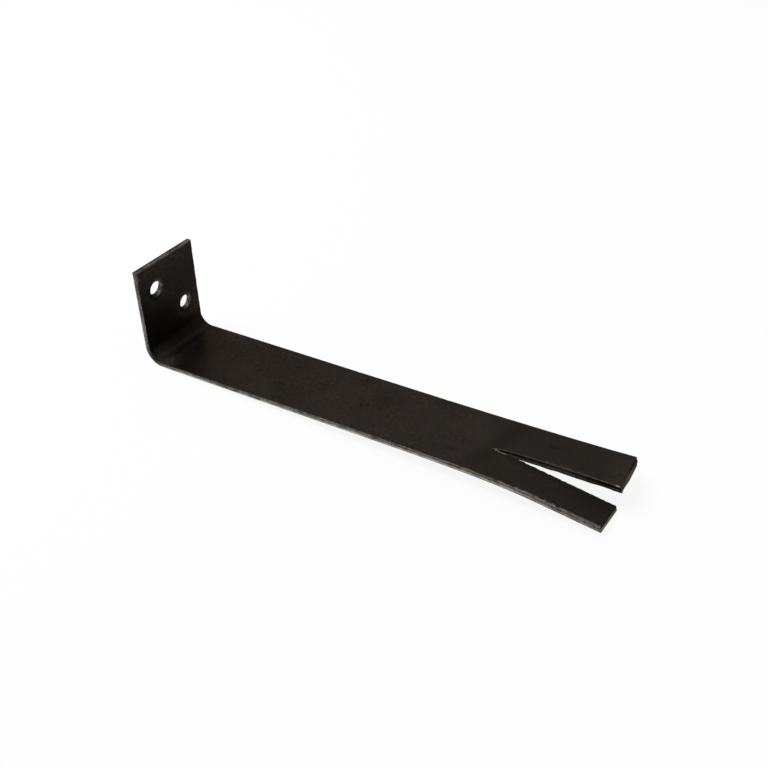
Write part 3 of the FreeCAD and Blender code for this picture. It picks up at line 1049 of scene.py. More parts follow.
@dataclass(frozen=True)
class CutEdges:
    """The tie's cut edges, each as its shear left it, with places along them on the flat sheet.

    The long edges and the slit run along the strip, and the ends run across it.
    """

    front: TornEdge = TornEdge(1.5, (
        EdgeStation(0, ((0, 0.3), (0.2, 0.34), (0.6, 0.4), (1.1, 0.58), (1.6, 0.75)), 0.5, 0.22),
        EdgeStation(6, ((0, 0.24), (0.15, 0.32), (0.5, 0.4), (1.1, 0.56), (1.6, 0.75)), 0.25, 0.14),
        # From 12 to 66 along, round the bend, soot_and_shade darkens the scale beside the edge with sooty
        # marks and painted shade.
        EdgeStation(12, ((0, 0.3), (0.05, 0.46), (0.2, 0.58), (0.6, 0.58), (1.1, 0.58), (1.6, 0.75)),
                    soot_and_shade=0.5),
        EdgeStation(23, ((0, 0.2), (0.06, 0.42), (0.2, 0.58), (0.6, 0.6), (1.1, 0.66), (1.6, 0.78)),
                    soot_and_shade=0.5),
        EdgeStation(29.5, ((0, 0.04), (0.3, 0.12), (0.7, 0.25), (1.1, 0.46), (1.6, 0.66))),
        EdgeStation(37, ((0, 0), (0.06, 0.02), (0.18, 0.38), (0.45, 0.56), (0.8, 0.64), (1.2, 0.78),
                         (1.6, 0.95)), soot_and_shade=0.8),
        EdgeStation(54, ((0, 0.04), (0.08, 0.16), (0.2, 0.42), (0.5, 0.5), (0.8, 0.52), (1.2, 0.76),
                         (1.6, 0.95)), soot_and_shade=0.5),
        EdgeStation(66, ((0, 0.14), (0.08, 0.34), (0.18, 0.54), (0.5, 0.62), (0.8, 0.56), (1.2, 0.74),
                         (1.6, 0.95)), soot_and_shade=0.4),
        EdgeStation(100, ((0, 0.5), (0.5, 0.47), (0.8, 0.6), (1.0, 0.78), (1.25, 0.9), (1.6, 0.98)),
                    burr=0.02),
        EdgeStation(128, ((0, 0.36), (0.4, 0.34), (0.7, 0.52), (1.0, 0.84), (1.25, 0.86), (1.6, 0.7)),
                    0.14, 0.38, burr=0.05),
        EdgeStation(146, ((0, 0.34), (0.4, 0.36), (0.6, 0.64), (0.9, 0.9), (1.2, 0.78), (1.6, 0.5)),
                    0.42, 0.42, burr=0.06),
        EdgeStation(160, ((0, 0.44), (0.5, 0.5), (0.8, 0.7), (1.0, 0.78), (1.2, 0.64), (1.6, 0.46)),
                    0.54, 0.5, burr=0.03),
        EdgeStation(177, ((0, 0.36), (0.5, 0.36), (0.8, 0.5), (1.0, 0.6), (1.2, 0.56), (1.6, 0.46)),
                    0.7, 0.44, burr=0.03),
    ))
    rear: TornEdge = TornEdge(5.5, (
        EdgeStation(0, ((0, 0.5), (1.6, 0.5)), burr=0.03),
    ), rollover=0.6, square=2.5)
    front_slit: TornEdge = TornEdge(9.5, (
        EdgeStation(141, ((0, 0.15), (1.6, 0.2)), burr=0.1),
        EdgeStation(147, ((0, 0.15), (1.6, 0.2)), burr=0.2),
        EdgeStation(165, ((0, 0.15), (1.6, 0.2)), burr=0.18),
        EdgeStation(177, ((0, 0.15), (1.6, 0.2)), burr=0.1),
    ), rollover=0.08, nick_depth=0.0, tear_depth=0.01, bead_level=0.8)
    rear_slit: TornEdge = TornEdge(10.5, (
        EdgeStation(147, ((0, 0.2), (0.1, 0.04), (0.6, 0.05), (0.9, 0.5), (1.2, 0.7), (1.6, 0.75)),
                    0.2, 0.16),
        EdgeStation(153, ((0, 0.2), (0.1, 0.04), (0.7, 0.06), (1.0, 0.5), (1.25, 0.65), (1.6, 0.75)),
                    0.3, 0.16),
        EdgeStation(161, ((0, 0.26), (0.1, 0.12), (0.4, 0.14), (0.7, 0.3), (1.0, 0.5), (1.25, 0.66),
                          (1.6, 0.76)), 0.6, 0.1),
        EdgeStation(170, ((0, 0.2), (0.1, 0.04), (0.85, 0.06), (1.1, 0.14), (1.6, 0.46)), 0.3, 0.26),
        EdgeStation(175.6, ((0, 0.2), (0.1, 0.03), (0.85, 0.04), (1.1, 0.3), (1.6, 0.5)), 0.3, 0.3),
        # From 175.6 to 176.95 along, at the tail's tip, the top of the cut and the scale beside it carry a
        # painted highlight: a bright spot.
        EdgeStation(176.05, ((0, 1), (0.1, 0.9), (0.2, 0.1), (0.85, 0.05), (1.1, 0.3), (1.6, 0.5)),
                    0.42, 0.95),
        EdgeStation(176.5, ((0, 1), (0.1, 0.9), (0.2, 0.1), (0.85, 0.05), (1.1, 0.24), (1.6, 0.4)),
                    0.4, 0.95),
        EdgeStation(176.95, ((0, 0.2), (0.1, 0.1), (0.2, 0.05), (0.85, 0.05), (1.1, 0.1), (1.6, 0.2)),
                    0.3, 0.2),
    ), rollover=0.08, nick_depth=0.03, tear_depth=0.012, kerf=0.1)
    upstand_end: TornEdge = TornEdge(13.5, (
        EdgeStation(-12.7, ((0, 0.3), (0.7, 0.28), (1.1, 0.16), (1.6, 0.1)), 0.45, 0.26),
        EdgeStation(-3.8, ((0, 0.3), (0.7, 0.28), (1.1, 0.16), (1.6, 0.1)), 0.45, 0.28),
        EdgeStation(-3.0, ((0, 0.1), (0.7, 0.12), (1.1, 0.1), (1.6, 0.08)), 0.2, 0.1),
        EdgeStation(-2.4, ((0, 0.3), (0.7, 0.28), (1.1, 0.15), (1.6, 0.1)), 0.45, 0.28),
        EdgeStation(4, ((0, 0.3), (0.7, 0.25), (1.1, 0.14), (1.6, 0.1)), 0.45, 0.28),
        EdgeStation(12.7, ((0, 0.34), (0.7, 0.42), (1.1, 0.2), (1.6, 0.1)), 0.45, 0.3),
    ), rollover=0.1, nick_depth=0.05, tear_depth=0.02)
    front_end: TornEdge = TornEdge(14.5, (
        EdgeStation(0, ((0, 0.03), (0.3, 0.1), (0.5, 0.48), (1.2, 0.66), (1.6, 0.66))),
    ), rollover=0.08, nick_depth=0.04, tear_depth=0.02)
    rear_end: TornEdge = TornEdge(15.5, (
        EdgeStation(1, ((0, 0.16), (0.3, 0.3), (1.1, 0.4), (1.6, 0.48))),
        EdgeStation(5, ((0, 0.06), (0.3, 0.18), (0.7, 0.32), (1.1, 0.4), (1.6, 0.46))),
        EdgeStation(10, ((0, 0.03), (0.4, 0.08), (0.8, 0.42), (1.1, 0.58), (1.6, 0.66))),
        EdgeStation(12.4, ((0, 0.2), (0.2, 0.06), (0.6, 0.2), (1.1, 0.45), (1.6, 0.5)), 0.4, 0.3),
    ), rollover=0.08, nick_depth=0.04, tear_depth=0.02)


@dataclass
class FishtailTie:
    """The tie: a folded strip with two punched holes in its upstand and a slit, parted end.

    Its half width, top, underside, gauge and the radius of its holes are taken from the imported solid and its
    record. Its finishes stand in the order of the zones.
    """

    probe: SolidProbe
    record: dict[str, Any]
    bend_radius: float = 4.2
    slit_root: float = 114.4
    slit_across: float = -1.4
    slit_kerf: float = 0.2
    slit_point: float = 1.0

    # The grid: how far apart its lines are, closer ones beside the cut edges, a square block of lines to each
    # side of a hole, rows round the bend, points down a rim, and the decimals at which lines are the same.
    step_along: float = 0.34
    step_across: float = 0.66
    guards: tuple[float, ...] = (0.12, 0.36, 0.48)
    hole_block: float = 3.6
    block_rows: int = 21
    block_columns: int = 11
    bend_rows: int = 25
    rim_points: int = 10
    decimals: int = 5

    # Reading the solid: how far inside an edge the rays go, and how the end of a tail's top face is found.
    inset: float = 0.03
    tail_start: float = 148.0
    tail_reach: float = 5.0
    end_tolerance: float = 0.002
    end_drop: float = 0.08
    end_back: float = 0.02
    lean_depth: float = 0.75
    lean_power: int = 3

    # Roughening: how far a torn edge moves the faces beside it, the width of a burr, and the sheet's waves.
    edge_reach: float = 1.5
    outer_sunk: float = 0.5
    burr_width: float = 0.3
    waviness: float = 0.008
    wave_length: float = 13.0
    wave_width: float = 8.0
    scuff_lead: float = 9.0

    edges: CutEdges = CutEdges()
    fold_marks_and_shade: FoldMarksAndShade = FoldMarksAndShade()
    hanging_burr: HangingBurr = HangingBurr()
    slit_flecks: SlitFlecks = SlitFlecks()
    blemishes: tuple[Blemish, ...] = (
        # Darker spots in the scale, the first one raised.
        Blemish(62.5, -1.6, (0.9, 0.8), rise=0.08, soot_and_shade=0.4),
        Blemish(131.0, -6.9, (2.0, 0.7), soot_and_shade=0.35),
        Blemish(156.0, 6.5, (2.2, 0.8), soot_and_shade=0.35),
        # Painted light on the bend, scuffed matt: a lighter patch at its front corner and a fainter one across
        # its exit.
        Blemish(33.3, -10.5, (4.1, 4.5), scuff=0.9, painted_light=0.105),
        Blemish(34.2, -2.5, (2.2, 7.0), scuff=0.4, painted_light=0.04),
        # Painted shade: the lower upstand darkened.
        Blemish(19.5, -3.0, (4.5, 6.0), soot_and_shade=0.55),
        # Painted light: the upstand's top and the rear of the bend made lighter.
        Blemish(0.0, 3.0, (5.0, 14.0), painted_light=0.03),
        Blemish(21.0, 11.0, (4.0, 2.5), painted_light=0.03),
        Blemish(43.0, 11.0, (6.0, 2.5), painted_light=0.02),
        # Painted light: the front tail beside the slit and the rear tail's end made lighter.
        Blemish(160.0, -3.2, (12.0, 2.0), painted_light=0.03),
        Blemish(176.0, 4.0, (3.5, 7.0), painted_light=0.025),
    )
    finishes: tuple[MillScale, ShearedSteel] = (MillScale(), ShearedSteel())
    mesh: GridMesh = field(default_factory=GridMesh)
    half_width: float = field(init=False)
    top: float = field(init=False)
    underside: float = field(init=False)
    gauge: float = field(init=False)
    holes: tuple[PunchedHole, PunchedHole] = field(init=False)

    def __post_init__(self) -> None:
        """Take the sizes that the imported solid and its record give."""
        low, high = (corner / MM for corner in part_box(NODE))
        mounts = {mount["name"]: mount for mount in self.record["mounts"]}
        self.half_width = high.y
        self.top = high.z
        self.underside = mounts["bed_face"]["pos_m"][2] / MM
        middle = mounts["bed_face"]["pos_m"][0] / MM
        self.gauge = self.probe.height(middle, 0) - self.underside
        radius = mounts["fixing_holes"]["dims"]["hole_r_mm"]
        self.holes = (
            # The lights of each hole are painted highlights on its wall.
            PunchedHole(across=-5.525, height=5.25, radius=radius,
                        front_shift=(-0.13, -0.32), front_growth=0.02,
                        back_shift=(0.1, 0.34), back_growth=0.08, worn_turn=45.0, worn_level=0.5,
                        lights=((16.0, 22.0, 0.6), (-55.0, 30.0, 0.08))),
            PunchedHole(across=6.125, height=-5.25, radius=radius,
                        front_shift=(-0.05, -0.26), front_growth=-0.17,
                        back_shift=(0.1, 0.06), back_growth=-0.2, worn_turn=27.0, worn_level=1.0,
                        lights=((8.0, 20.0, 0.4),)),
        )
        log.info("sheet %.2f mm, strip %.2f mm wide, box %s to %s",
                 self.gauge, 2 * self.half_width, low, high)

    def columns(self) -> np.ndarray:
        """Places of the grid's lines across the strip.

        Returns:
            The places, from front to rear.
        """
        upper, lower = (hole.across for hole in self.holes)
        reach, step, slit = self.hole_block, self.step_across, self.slit_across
        block = np.linspace(-reach, reach, self.block_columns)
        return np.unique(np.round(np.concatenate([
            spaced(-self.half_width, upper - reach, step, self.guards, guard_first=True),
            upper + block,
            [slit - self.guards[1], slit - self.guards[0], slit],
            spaced(slit, lower - reach, step, self.guards, guard_first=True),
            lower + block,
            spaced(lower + reach, self.half_width, step, self.guards, guard_last=True),
        ]), self.decimals))

    def heights(self) -> np.ndarray:
        """Heights of the grid's lines up the upstand.

        Returns:
            The heights, from its top to the bend.
        """
        upper, lower = (hole.height for hole in self.holes)
        reach, step = self.hole_block, self.step_along
        block = np.linspace(reach, -reach, self.block_rows)
        bend = self.underside + self.gauge + self.bend_radius
        lines = np.concatenate([
            spaced(self.top, upper + reach, step, self.guards, guard_first=True),
            upper + block,
            spaced(upper - reach, lower + reach, step),
            lower + block,
            spaced(lower - reach, bend, step),
        ])
        return -np.unique(np.round(-lines, self.decimals))

    def body_panel(self, across: np.ndarray) -> Panel:
        """Inner face from the upstand's top round the bend to the root of the slit.

        Args:
            across: The strip's columns.

        Returns:
            The body's panel.
        """
        heights = self.heights()
        turns = np.linspace(0, math.pi / 2, self.bend_rows)[1:-1]
        start = self.gauge + self.bend_radius
        flat = np.unique(np.round(spaced(start, self.slit_root, self.step_along), self.decimals))
        centre = self.underside + start
        x = np.concatenate([
            np.full(len(heights), self.gauge), start - self.bend_radius * np.cos(turns), flat])
        z = np.concatenate([heights, centre - self.bend_radius * np.sin(turns), np.full(len(flat), 0.0)])
        normal = np.concatenate([
            np.tile([1.0, 0, 0], (len(heights), 1)),
            np.stack([np.cos(turns), np.zeros(len(turns)), np.sin(turns)], axis=1),
            np.tile([0, 0, 1.0], (len(flat), 1)),
        ])
        inner = np.empty((len(x), len(across), 3))
        inner[..., 0] = x[:, None]
        inner[..., 1] = across[None, :]
        inner[..., 2] = z[:, None]
        for row in range(len(heights) + len(turns), len(x)):
            inner[row, :, 2] = [self.face_height(x[row], y) for y in across]
        along = np.concatenate([
            self.top - heights,
            self.top - centre + self.bend_radius * turns,
            self.top - centre + self.bend_radius * math.pi / 2 + flat - start,
        ])
        return Panel(inner, normal, along, across, np.zeros(inner.shape[:2]))

    def face_height(self, x: float, y: float) -> float:
        """Height of the top face, read a little inside its edges.

        Args:
            x: Place along X.
            y: Place across the strip.

        Returns:
            The height.
        """
        limit = self.half_width - self.inset
        place = min(x, self.slit_root - self.inset) if y == self.slit_across else x
        return self.probe.height(place, max(-limit, min(limit, y)))

    def tail_end(self, y: float) -> tuple[float, float]:
        """Where the top face of a tail ends, and how far its end leans out below that.

        Args:
            y: Place across the strip.

        Returns:
            The end's place along X, and the lean for each millimetre of depth.
        """
        start = self.tail_start
        level = self.probe.height(start, y)
        slope = self.probe.height(start + 1, y) - level
        near, far = start + 1, start + self.tail_reach
        while far - near > self.end_tolerance:
            middle = (near + far) / 2
            hit = self.probe.drop(middle, y)
            on_top = hit is not None and hit.z > level + slope * (middle - start) - self.end_drop
            near, far = (middle, far) if on_top else (near, middle)
        depth = self.lean_depth * self.gauge
        low = self.probe.end(y, self.probe.height(near - self.end_back, y) - depth)
        return near, (low - near) / depth

    def tail_panel(self, across: np.ndarray, body: Panel, side: Side) -> Panel:
        """Inner face of one tail, from the root of the slit to its sheared end.

        Args:
            across: The columns of this tail.
            body: The panel that the tail grows from.
            side: Which tail it is.

        Returns:
            The tail's panel.
        """
        limit = self.half_width - self.inset
        clear = self.slit_across + side * (self.slit_kerf / 2 + self.inset)
        read = np.clip(across, clear, limit) if side is Side.REAR else np.clip(across, -limit, clear)
        ends, leans = (np.array(values) for values in zip(*(self.tail_end(y) for y in read)))
        length = ends.mean() - self.slit_root
        guards = tuple(guard / length for guard in self.guards)
        share = spaced(0, 1, self.step_along / length, guards, guard_first=True, guard_last=True)
        x = self.slit_root + share[:, None] * (ends[None, :] - self.slit_root)
        inner = np.empty(x.shape + (3,))
        inner[..., 0] = x
        inner[..., 1] = across[None, :]
        for row in range(len(share)):
            places = np.minimum(x[row], ends - self.inset)
            inner[row, :, 2] = [self.probe.height(a, b) for a, b in zip(places, read)]
        chosen = slice(0, len(across)) if side is Side.FRONT else slice(-len(across), None)
        inner[0] = body.inner[-1, chosen]
        along = body.along[-1] + share * length
        lean = share[:, None] ** self.lean_power * leans[None, :]
        normal = np.tile([0, 0, 1.0], (len(share), 1))
        return Panel(inner, normal, along, across, lean)

    def lay_panel(self, panel: Panel, edges: tuple[TornEdge, TornEdge], fade: np.ndarray,
                  slit_side: Side | None = None) -> LaidPanel:
        """Roughen a panel's two faces and two cut edges.

        Args:
            panel: The panel as folded.
            edges: The cut edges at its front and rear.
            fade: For each row, how far an edge along the slit is open.
            slit_side: The side that runs along the slit, if one does.

        Returns:
            The panel with the points of its faces and rims.
        """
        wave = np.meshgrid(panel.along / self.wave_length, panel.across / self.wave_width, indexing="ij")
        raised = sum(mark.rise * mark.spread(*panel.grid()) for mark in self.blemishes)
        inner = panel.at(self.waviness * (1 + ripple(*wave, SheetPattern.INNER_WAVE)) - raised)
        outer = panel.at(self.gauge - self.waviness * (1 + ripple(*wave, SheetPattern.OUTER_WAVE)))
        rims = []
        for side, edge in zip(Side, edges):
            open_share = fade if side is slit_side else np.ones_like(fade)
            kerf = open_share * edge.kerf if side is slit_side else np.zeros_like(fade)
            behind, depth = edge.profile(self.gauge, self.rim_points)
            drawn = behind[None, :] * (open_share * edge.rolled(panel.along))[:, None]
            sunk = edge.sink(panel.along, depth, self.gauge) * open_share[:, None]
            distance = panel.distance(side)
            pull = np.clip(1 - distance / self.edge_reach, 0, 1)[None, :]
            inner[..., 1] -= side * (sunk[:, 0] + drawn[:, 0] + kerf)[:, None] * pull
            outer[..., 1] -= side * (self.outer_sunk * sunk[:, -1] + drawn[:, -1] + kerf)[:, None] * pull
            ridge = np.clip(1 - distance / self.burr_width, 0, 1)[None, :]
            lift = (edge.burr(panel.along) * open_share)[:, None] * ridge
            inner += panel.normal[:, None, :] * lift[..., None]
            rim = panel.at(depth, side.column)
            rim[..., 1] -= side * (sunk + drawn + kerf[:, None])
            rims.append(rim)
        for side, rim in zip(Side, rims):
            rim[:, 0] = inner[:, side.column]
            rim[:, -1] = outer[:, side.column]
        return LaidPanel(panel, edges, inner, outer, rims)

    def build(self) -> bpy.types.Object:
        """Build the whole tie.

        Returns:
            The tie as one object in the frame's own metres.
        """
        across = self.columns()
        slit = int(np.argmin(np.abs(across - self.slit_across)))
        body = self.body_panel(across)
        self.add_body(body)
        for side, columns in ((Side.FRONT, across[:slit + 1]), (Side.REAR, across[slit:])):
            self.add_tail(self.tail_panel(columns, body, side), side)
        return self.mesh.to_object("folded_strip")

    def dress(self, strip: bpy.types.Object) -> None:
        """Give the built strip its finishes."""
        for finish in self.finishes:
            strip.data.materials.append(finish.material())

    def add_body(self, body: Panel) -> None:
        """Add the upstand, the bend and the strip up to the slit.

        Args:
            body: The body's panel.
        """
        end, outward = self.edges.upstand_end, np.array([0, 0, 1.0])
        laid = self.lay_panel(body, (self.edges.front, self.edges.rear), np.ones(len(body.along)))
        laid.draw_back(0, outward, end)
        keep = np.ones((len(body.along) - 1, len(body.across) - 1), bool)
        heights = self.heights()
        for hole in self.holes:
            left, right = (int(np.argmin(np.abs(body.across - hole.across - d)))
                           for d in (-self.hole_block, self.hole_block))
            high, low = (int(np.argmin(np.abs(heights - hole.height - d)))
                         for d in (self.hole_block, -self.hole_block))
            keep[high:low, left:right] = False
            self.add_hole(hole, laid, (high, low, left, right))
        bare = np.maximum(laid.rubbed(), end.rubbed(body.across, body.along - body.along[0]).T)
        self.add_faces(laid, bare, keep)
        self.add_cap(0, laid, outward, end)

    def add_tail(self, tail: Panel, side: Side) -> None:
        """Add one tail, with its side of the slit and its sheared end.

        Args:
            tail: The tail's panel.
            side: Which tail it is.
        """
        cuts, outward = self.edges, np.array([1.0, 0, 0])
        if side is Side.FRONT:
            edges, end = (cuts.front, cuts.front_slit), cuts.front_end
        else:
            edges, end = (cuts.rear_slit, cuts.rear), cuts.rear_end
        opened = tail.inner[:, side.other.column, 0] - self.slit_root
        fade = np.clip(opened / self.slit_point, 0, 1)
        laid = self.lay_panel(tail, edges, fade, side.other)
        bare = laid.rubbed()
        if side is Side.FRONT:
            bare = np.maximum(bare, self.slit_flecks.levels(opened, tail.distance(side.other)))
        else:
            self.hanging_burr.pull_down(laid, opened, fade)
        laid.draw_back(-1, outward, end)
        self.add_faces(laid, bare)
        self.add_cap(-1, laid, outward, end)

    def add_faces(self, laid: LaidPanel, bare: np.ndarray, keep: np.ndarray | None = None) -> None:
        """Add a panel's two faces and two rims to the mesh, with their marks.

        Args:
            laid: The panel as the shears left it.
            bare: How far the inner face's scale is rubbed off beside the cuts.
            keep: Which of the faces' quads to make, where some are left out.
        """
        panel, grid = laid.panel, laid.panel.grid()
        bend = self.top - self.underside - self.gauge - self.bend_radius
        # Blemishes bring sooty marks and painted shade, matt scuffs and painted light.
        spreads = [(mark, mark.spread(*grid)) for mark in self.blemishes]
        soot_and_shade = sum(mark.soot_and_shade * spread for mark, spread in spreads)
        scuff = sum(mark.scuff * spread for mark, spread in spreads)
        painted_light = sum(mark.painted_light * spread for mark, spread in spreads)
        # Cracks along the bend, painted shade on the crease, and the blemishes' sooty marks and painted shade
        # darken the scale.
        folded = np.clip(self.fold_marks_and_shade.levels(panel, bend) + soot_and_shade, 0, 1)
        handled = ramp(panel.inner[..., 0], self.slit_root - self.scuff_lead, self.slit_root)
        scuffed = np.clip(handled + scuff, 0, 1)
        marks = {BARE_AND_PAINTED_LIGHT: np.maximum(bare, painted_light), FOLDED_AND_SHADED: np.maximum(folded, laid.sooted_and_shaded()), SCUFFED: scuffed}
        self.mesh.add(laid.inner, panel.places(0.0), Zone.SCALE, marks, keep=keep)
        self.mesh.add(laid.outer, panel.places(self.gauge), Zone.SCALE, {SCUFFED: scuffed}, keep=keep)
        for side, rim, edge in zip(Side, laid.rims, laid.edges):
            _, depth = edge.profile(self.gauge, self.rim_points)
            s, d = np.meshgrid(panel.along, depth, indexing="ij")
            places = np.stack([s, np.full_like(s, panel.across[side.column]), d], axis=-1)
            self.mesh.add(rim, places, Zone.SHEARED, {BARE_AND_PAINTED_LIGHT: edge.brightness(panel.along, depth)})

    def add_cap(self, row: int, laid: LaidPanel, outward: np.ndarray, edge: TornEdge) -> None:
        """Close a sheared end of the strip.

        Args:
            row: The end's row in its panel.
            laid: The panel that ends here, whose rims the cap meets.
            outward: Direction that the end faces.
            edge: How the end was sheared.
        """
        panel = laid.panel
        behind, depth = edge.profile(self.gauge, self.rim_points)
        cap = panel.inner[row][:, None, :] - panel.normal[row] * depth[None, :, None]
        cap[..., 0] += panel.lean[row][:, None] * depth[None, :]
        cap -= outward * (edge.sink(panel.across, depth, self.gauge) + behind[None, :])[..., None]
        cap[:, 0], cap[:, -1] = laid.inner[row], laid.outer[row]
        for side, rim in zip(Side, laid.rims):
            rim[row, 0], rim[row, -1] = laid.inner[row, side.column], laid.outer[row, side.column]
            cap[side.column] = rim[row]
        v, d = np.meshgrid(panel.across, depth, indexing="ij")
        places = np.stack([v, np.full_like(v, panel.along[row]), d], axis=-1)
        self.mesh.add(cap, places, Zone.SHEARED, {BARE_AND_PAINTED_LIGHT: edge.brightness(panel.across, depth)})

    def add_hole(self, hole: PunchedHole, laid: LaidPanel, block: tuple[int, int, int, int]) -> None:
        """Fill a block of both faces round a punched hole, and line the hole.

        Args:
            hole: The hole.
            laid: The panel that it is punched in.
            block: First and last rows and columns of the block.
        """
        high, low, left, right = block
        wide, tall = right - left, low - high
        rows = [high] * wide + list(range(high, low)) + [low] * wide + list(range(low, high, -1))
        columns = list(range(left, right)) + [right] * tall + list(range(right, left, -1)) + [left] * tall
        near, far = laid.inner[rows, columns], laid.outer[rows, columns]
        turn = np.arctan2(near[:, 2] - hole.height, near[:, 1] - hole.across)
        face, back = near[:, 0].mean(), far[:, 0].mean()
        lining = hole.lining(turn, face, back)
        halfway = HoleLoop((near + lining[0].points) / 2, Zone.SCALE)
        outside = [HoleLoop(far + share * (lining[-1].points - far), Zone.SCALE) for share in (0.5, 0.0)]
        chain = [HoleLoop(near, Zone.SCALE), halfway, *lining, *outside]
        points = np.stack([loop.points for loop in chain])
        places = np.stack([self.top - points[..., 2], points[..., 1], face - points[..., 0]], axis=-1)
        zones = np.array([loop.zone for loop in chain[1:]])
        bare = np.stack([np.broadcast_to(loop.bare, turn.shape) for loop in chain])
        self.mesh.add(points, places, zones, {BARE_AND_PAINTED_LIGHT: bare}, closed=True)


@dataclass
class PhotoCamera:
    """The camera as the photograph was taken: place and sensor in millimetres, angles in degrees."""

    place: tuple[float, float, float] = (198.365, -199.433, 154.843)
    azimuth: float = 30.915
    elevation: float = 35.013
    roll: float = 1.242
    focal_pixels: float = 995.0
    image_pixels: float = 768.0
    sensor: float = 36.0
    clip_metres: tuple[float, float] = (0.01, 20.0)

    def build(self) -> bpy.types.Object:
        """Make the camera and give it to the scene.

        Returns:
            The camera.
        """
        data = bpy.data.cameras.new("photo_camera")
        data.sensor_width = self.sensor
        data.lens = data.sensor_width * self.focal_pixels / self.image_pixels
        data.clip_start, data.clip_end = self.clip_metres
        made = bpy.data.objects.new("photo_camera", data)
        azimuth, elevation, roll = (math.radians(a) for a in (self.azimuth, self.elevation, self.roll))
        back = Vector((math.sin(azimuth) * math.cos(elevation), -math.cos(azimuth) * math.cos(elevation),
                       math.sin(elevation)))
        right = Vector((0, 0, 1)).cross(back).normalized()
        up = back.cross(right)
        turned_right = math.cos(roll) * right - math.sin(roll) * up
        turned_up = math.sin(roll) * right + math.cos(roll) * up
        turn = Matrix((turned_right, turned_up, back)).transposed()
        made.matrix_world = Matrix.Translation(Vector(self.place) * MM) @ turn.to_4x4()
        bpy.context.scene.collection.objects.link(made)
        bpy.context.scene.camera = made
        return made


@dataclass(frozen=True)
class SoftLamp:
    """A large square lamp: its place and side in metres, and its power in watts."""

    name: str
    place: tuple[float, float, float]
    side: float
    watts: float

    def hang(self, target: Vector) -> bpy.types.Object:
        """Hang the lamp in the scene.

        Args:
            target: The point that it faces, in metres.

        Returns:
            The lamp.
        """
        data = bpy.data.lights.new(self.name, "AREA")
        data.shape = "SQUARE"
        data.size = self.side
        data.energy = self.watts
        made = bpy.data.objects.new(self.name, data)
        made.location = self.place
        made.rotation_euler = (target - made.location).to_track_quat("-Z", "Y").to_euler()
        bpy.context.scene.collection.objects.link(made)
        return made


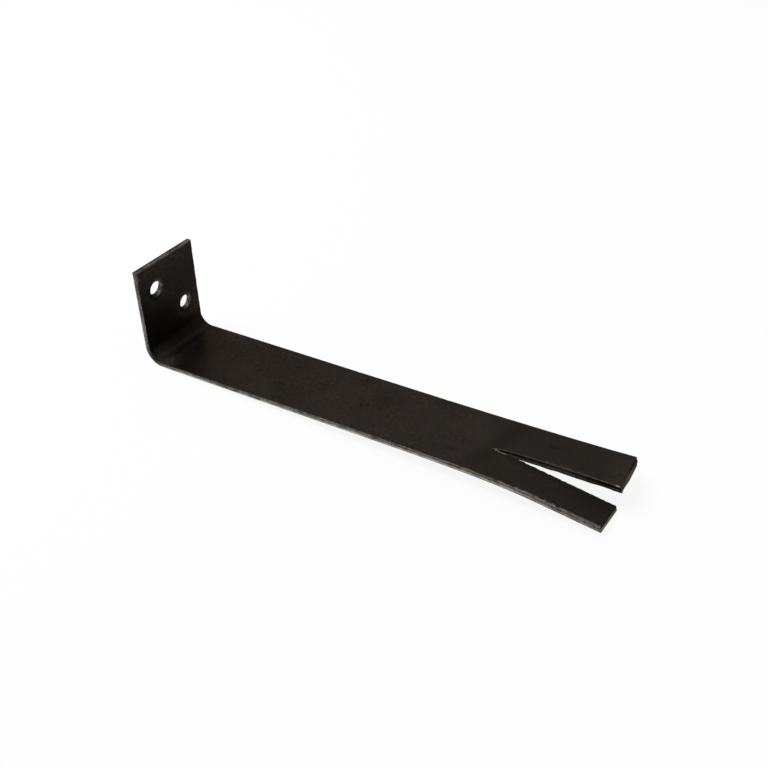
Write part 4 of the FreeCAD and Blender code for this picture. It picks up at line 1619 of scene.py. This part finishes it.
@dataclass
class Studio:
    """A plain white floor under the tie, soft light all round and two large lamps.

    The key lamp hangs in front and to the left, and a weaker one behind. The floor reaches floor_reach metres
    each way.
    """

    white: str = "#ffffff"
    floor_colour: str = "#fbfaf9"
    floor_reach: float = 3.0
    white_share: float = 0.9
    mirrored_share: float = 0.4
    sky: float = 0.3
    lamps: tuple[SoftLamp, ...] = (
        SoftLamp("key", (-0.45, -0.2, 0.88), 0.5, 8.0),
        SoftLamp("rim", (-0.2, 0.7, 0.7), 0.9, 2.0),
    )

    def seen_white(self, tree: bpy.types.NodeTree, mirrored: float = 1.0) -> bpy.types.NodeSocket:
        """Share of white in the background, for each kind of ray.

        Args:
            tree: The node tree to add to.
            mirrored: The share where it is seen in a reflection or through glass, if it is 1 straight on.

        Returns:
            The share, 0 for rays that only carry light.
        """
        path = add_node(tree, "LightPath")
        either = add_node(tree, "Math", {
            0: path.outputs["Is Glossy Ray"], 1: path.outputs["Is Transmission Ray"]}, operation="MAXIMUM")
        dimmed = add_node(tree, "Math", {0: either.outputs[0], 1: mirrored}, operation="MULTIPLY")
        return add_node(tree, "Math", {
            0: dimmed.outputs[0], 1: path.outputs["Is Camera Ray"]}, operation="MAXIMUM").outputs[0]

    def build_world(self) -> None:
        """Light the scene evenly, with a white background."""
        world = bpy.data.worlds.new("studio")
        bpy.context.scene.world = world
        world.use_nodes = True
        tree = world.node_tree
        shown = self.seen_white(tree)
        strength = add_node(tree, "MapRange", {"Value": shown, "To Min": self.sky, "To Max": 1.0})
        background = tree.nodes["Background"]
        background.inputs["Color"].default_value = linear(self.white)
        tree.links.new(strength.outputs["Result"], background.inputs["Strength"])

    def build_floor(self, heel: Vector, tip: Vector) -> bpy.types.Object:
        """Lay the floor under the two places that the tie rests on.

        Args:
            heel: Lowest point of the bend, in metres.
            tip: Lowest point of the front tail, in metres.

        Returns:
            The floor.
        """
        made = bpy.data.objects.new("floor", bpy.data.meshes.new("floor"))
        span = self.floor_reach
        slope = (tip.z - heel.z) / (tip.x - heel.x)
        corners = [(x, y, heel.z + slope * (x - heel.x)) for x, y in
                   ((-span, -span), (span, -span), (span, span), (-span, span))]
        made.data.from_pydata(corners, [], [(0, 1, 2, 3)])
        bpy.context.scene.collection.objects.link(made)
        material = bpy.data.materials.new("pale_floor")
        material.use_nodes = True
        tree = material.node_tree
        tree.nodes.remove(tree.nodes["Principled BSDF"])
        seen = self.seen_white(tree, self.mirrored_share)
        share = add_node(tree, "MapRange", {"Value": seen, "To Max": self.white_share})
        paint = add_node(tree, "BsdfDiffuse", {"Color": linear(self.floor_colour)})
        glow = add_node(tree, "Emission", {"Color": linear(self.white), "Strength": 1.0})
        mixed = add_node(tree, "MixShader", {
            0: share.outputs["Result"], 1: paint.outputs["BSDF"], 2: glow.outputs["Emission"]})
        tree.links.new(mixed.outputs["Shader"], tree.nodes["Material Output"].inputs["Surface"])
        made.data.materials.append(material)
        return made

    def build_lamps(self, target: Vector) -> None:
        """Hang the lamps, all facing one point given in metres."""
        for lamp in self.lamps:
            lamp.hang(target)


def main() -> None:
    """Build the tie, dress it and set the studio."""
    logging.basicConfig(level=logging.INFO, format="%(name)s: %(message)s")
    bpy.context.scene.view_settings.view_transform = "Standard"
    tie = FishtailTie(SolidProbe(frame["nodes"][NODE]), frame["record"])
    strip = tie.build()
    tie.dress(strip)
    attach(strip, "root")
    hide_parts(NODE)
    log.info("%s: %d faces", strip.name, len(strip.data.polygons))

    low, high = CAD_BOX
    heel = Vector((tie.gauge + tie.bend_radius, 0, tie.underside)) * MM
    studio = Studio()
    studio.build_world()
    studio.build_floor(heel, Vector((high.x, 0, low.z)))
    studio.build_lamps((low + high) / 2)
    PhotoCamera().build()


if __name__ == "__main__":
    main()
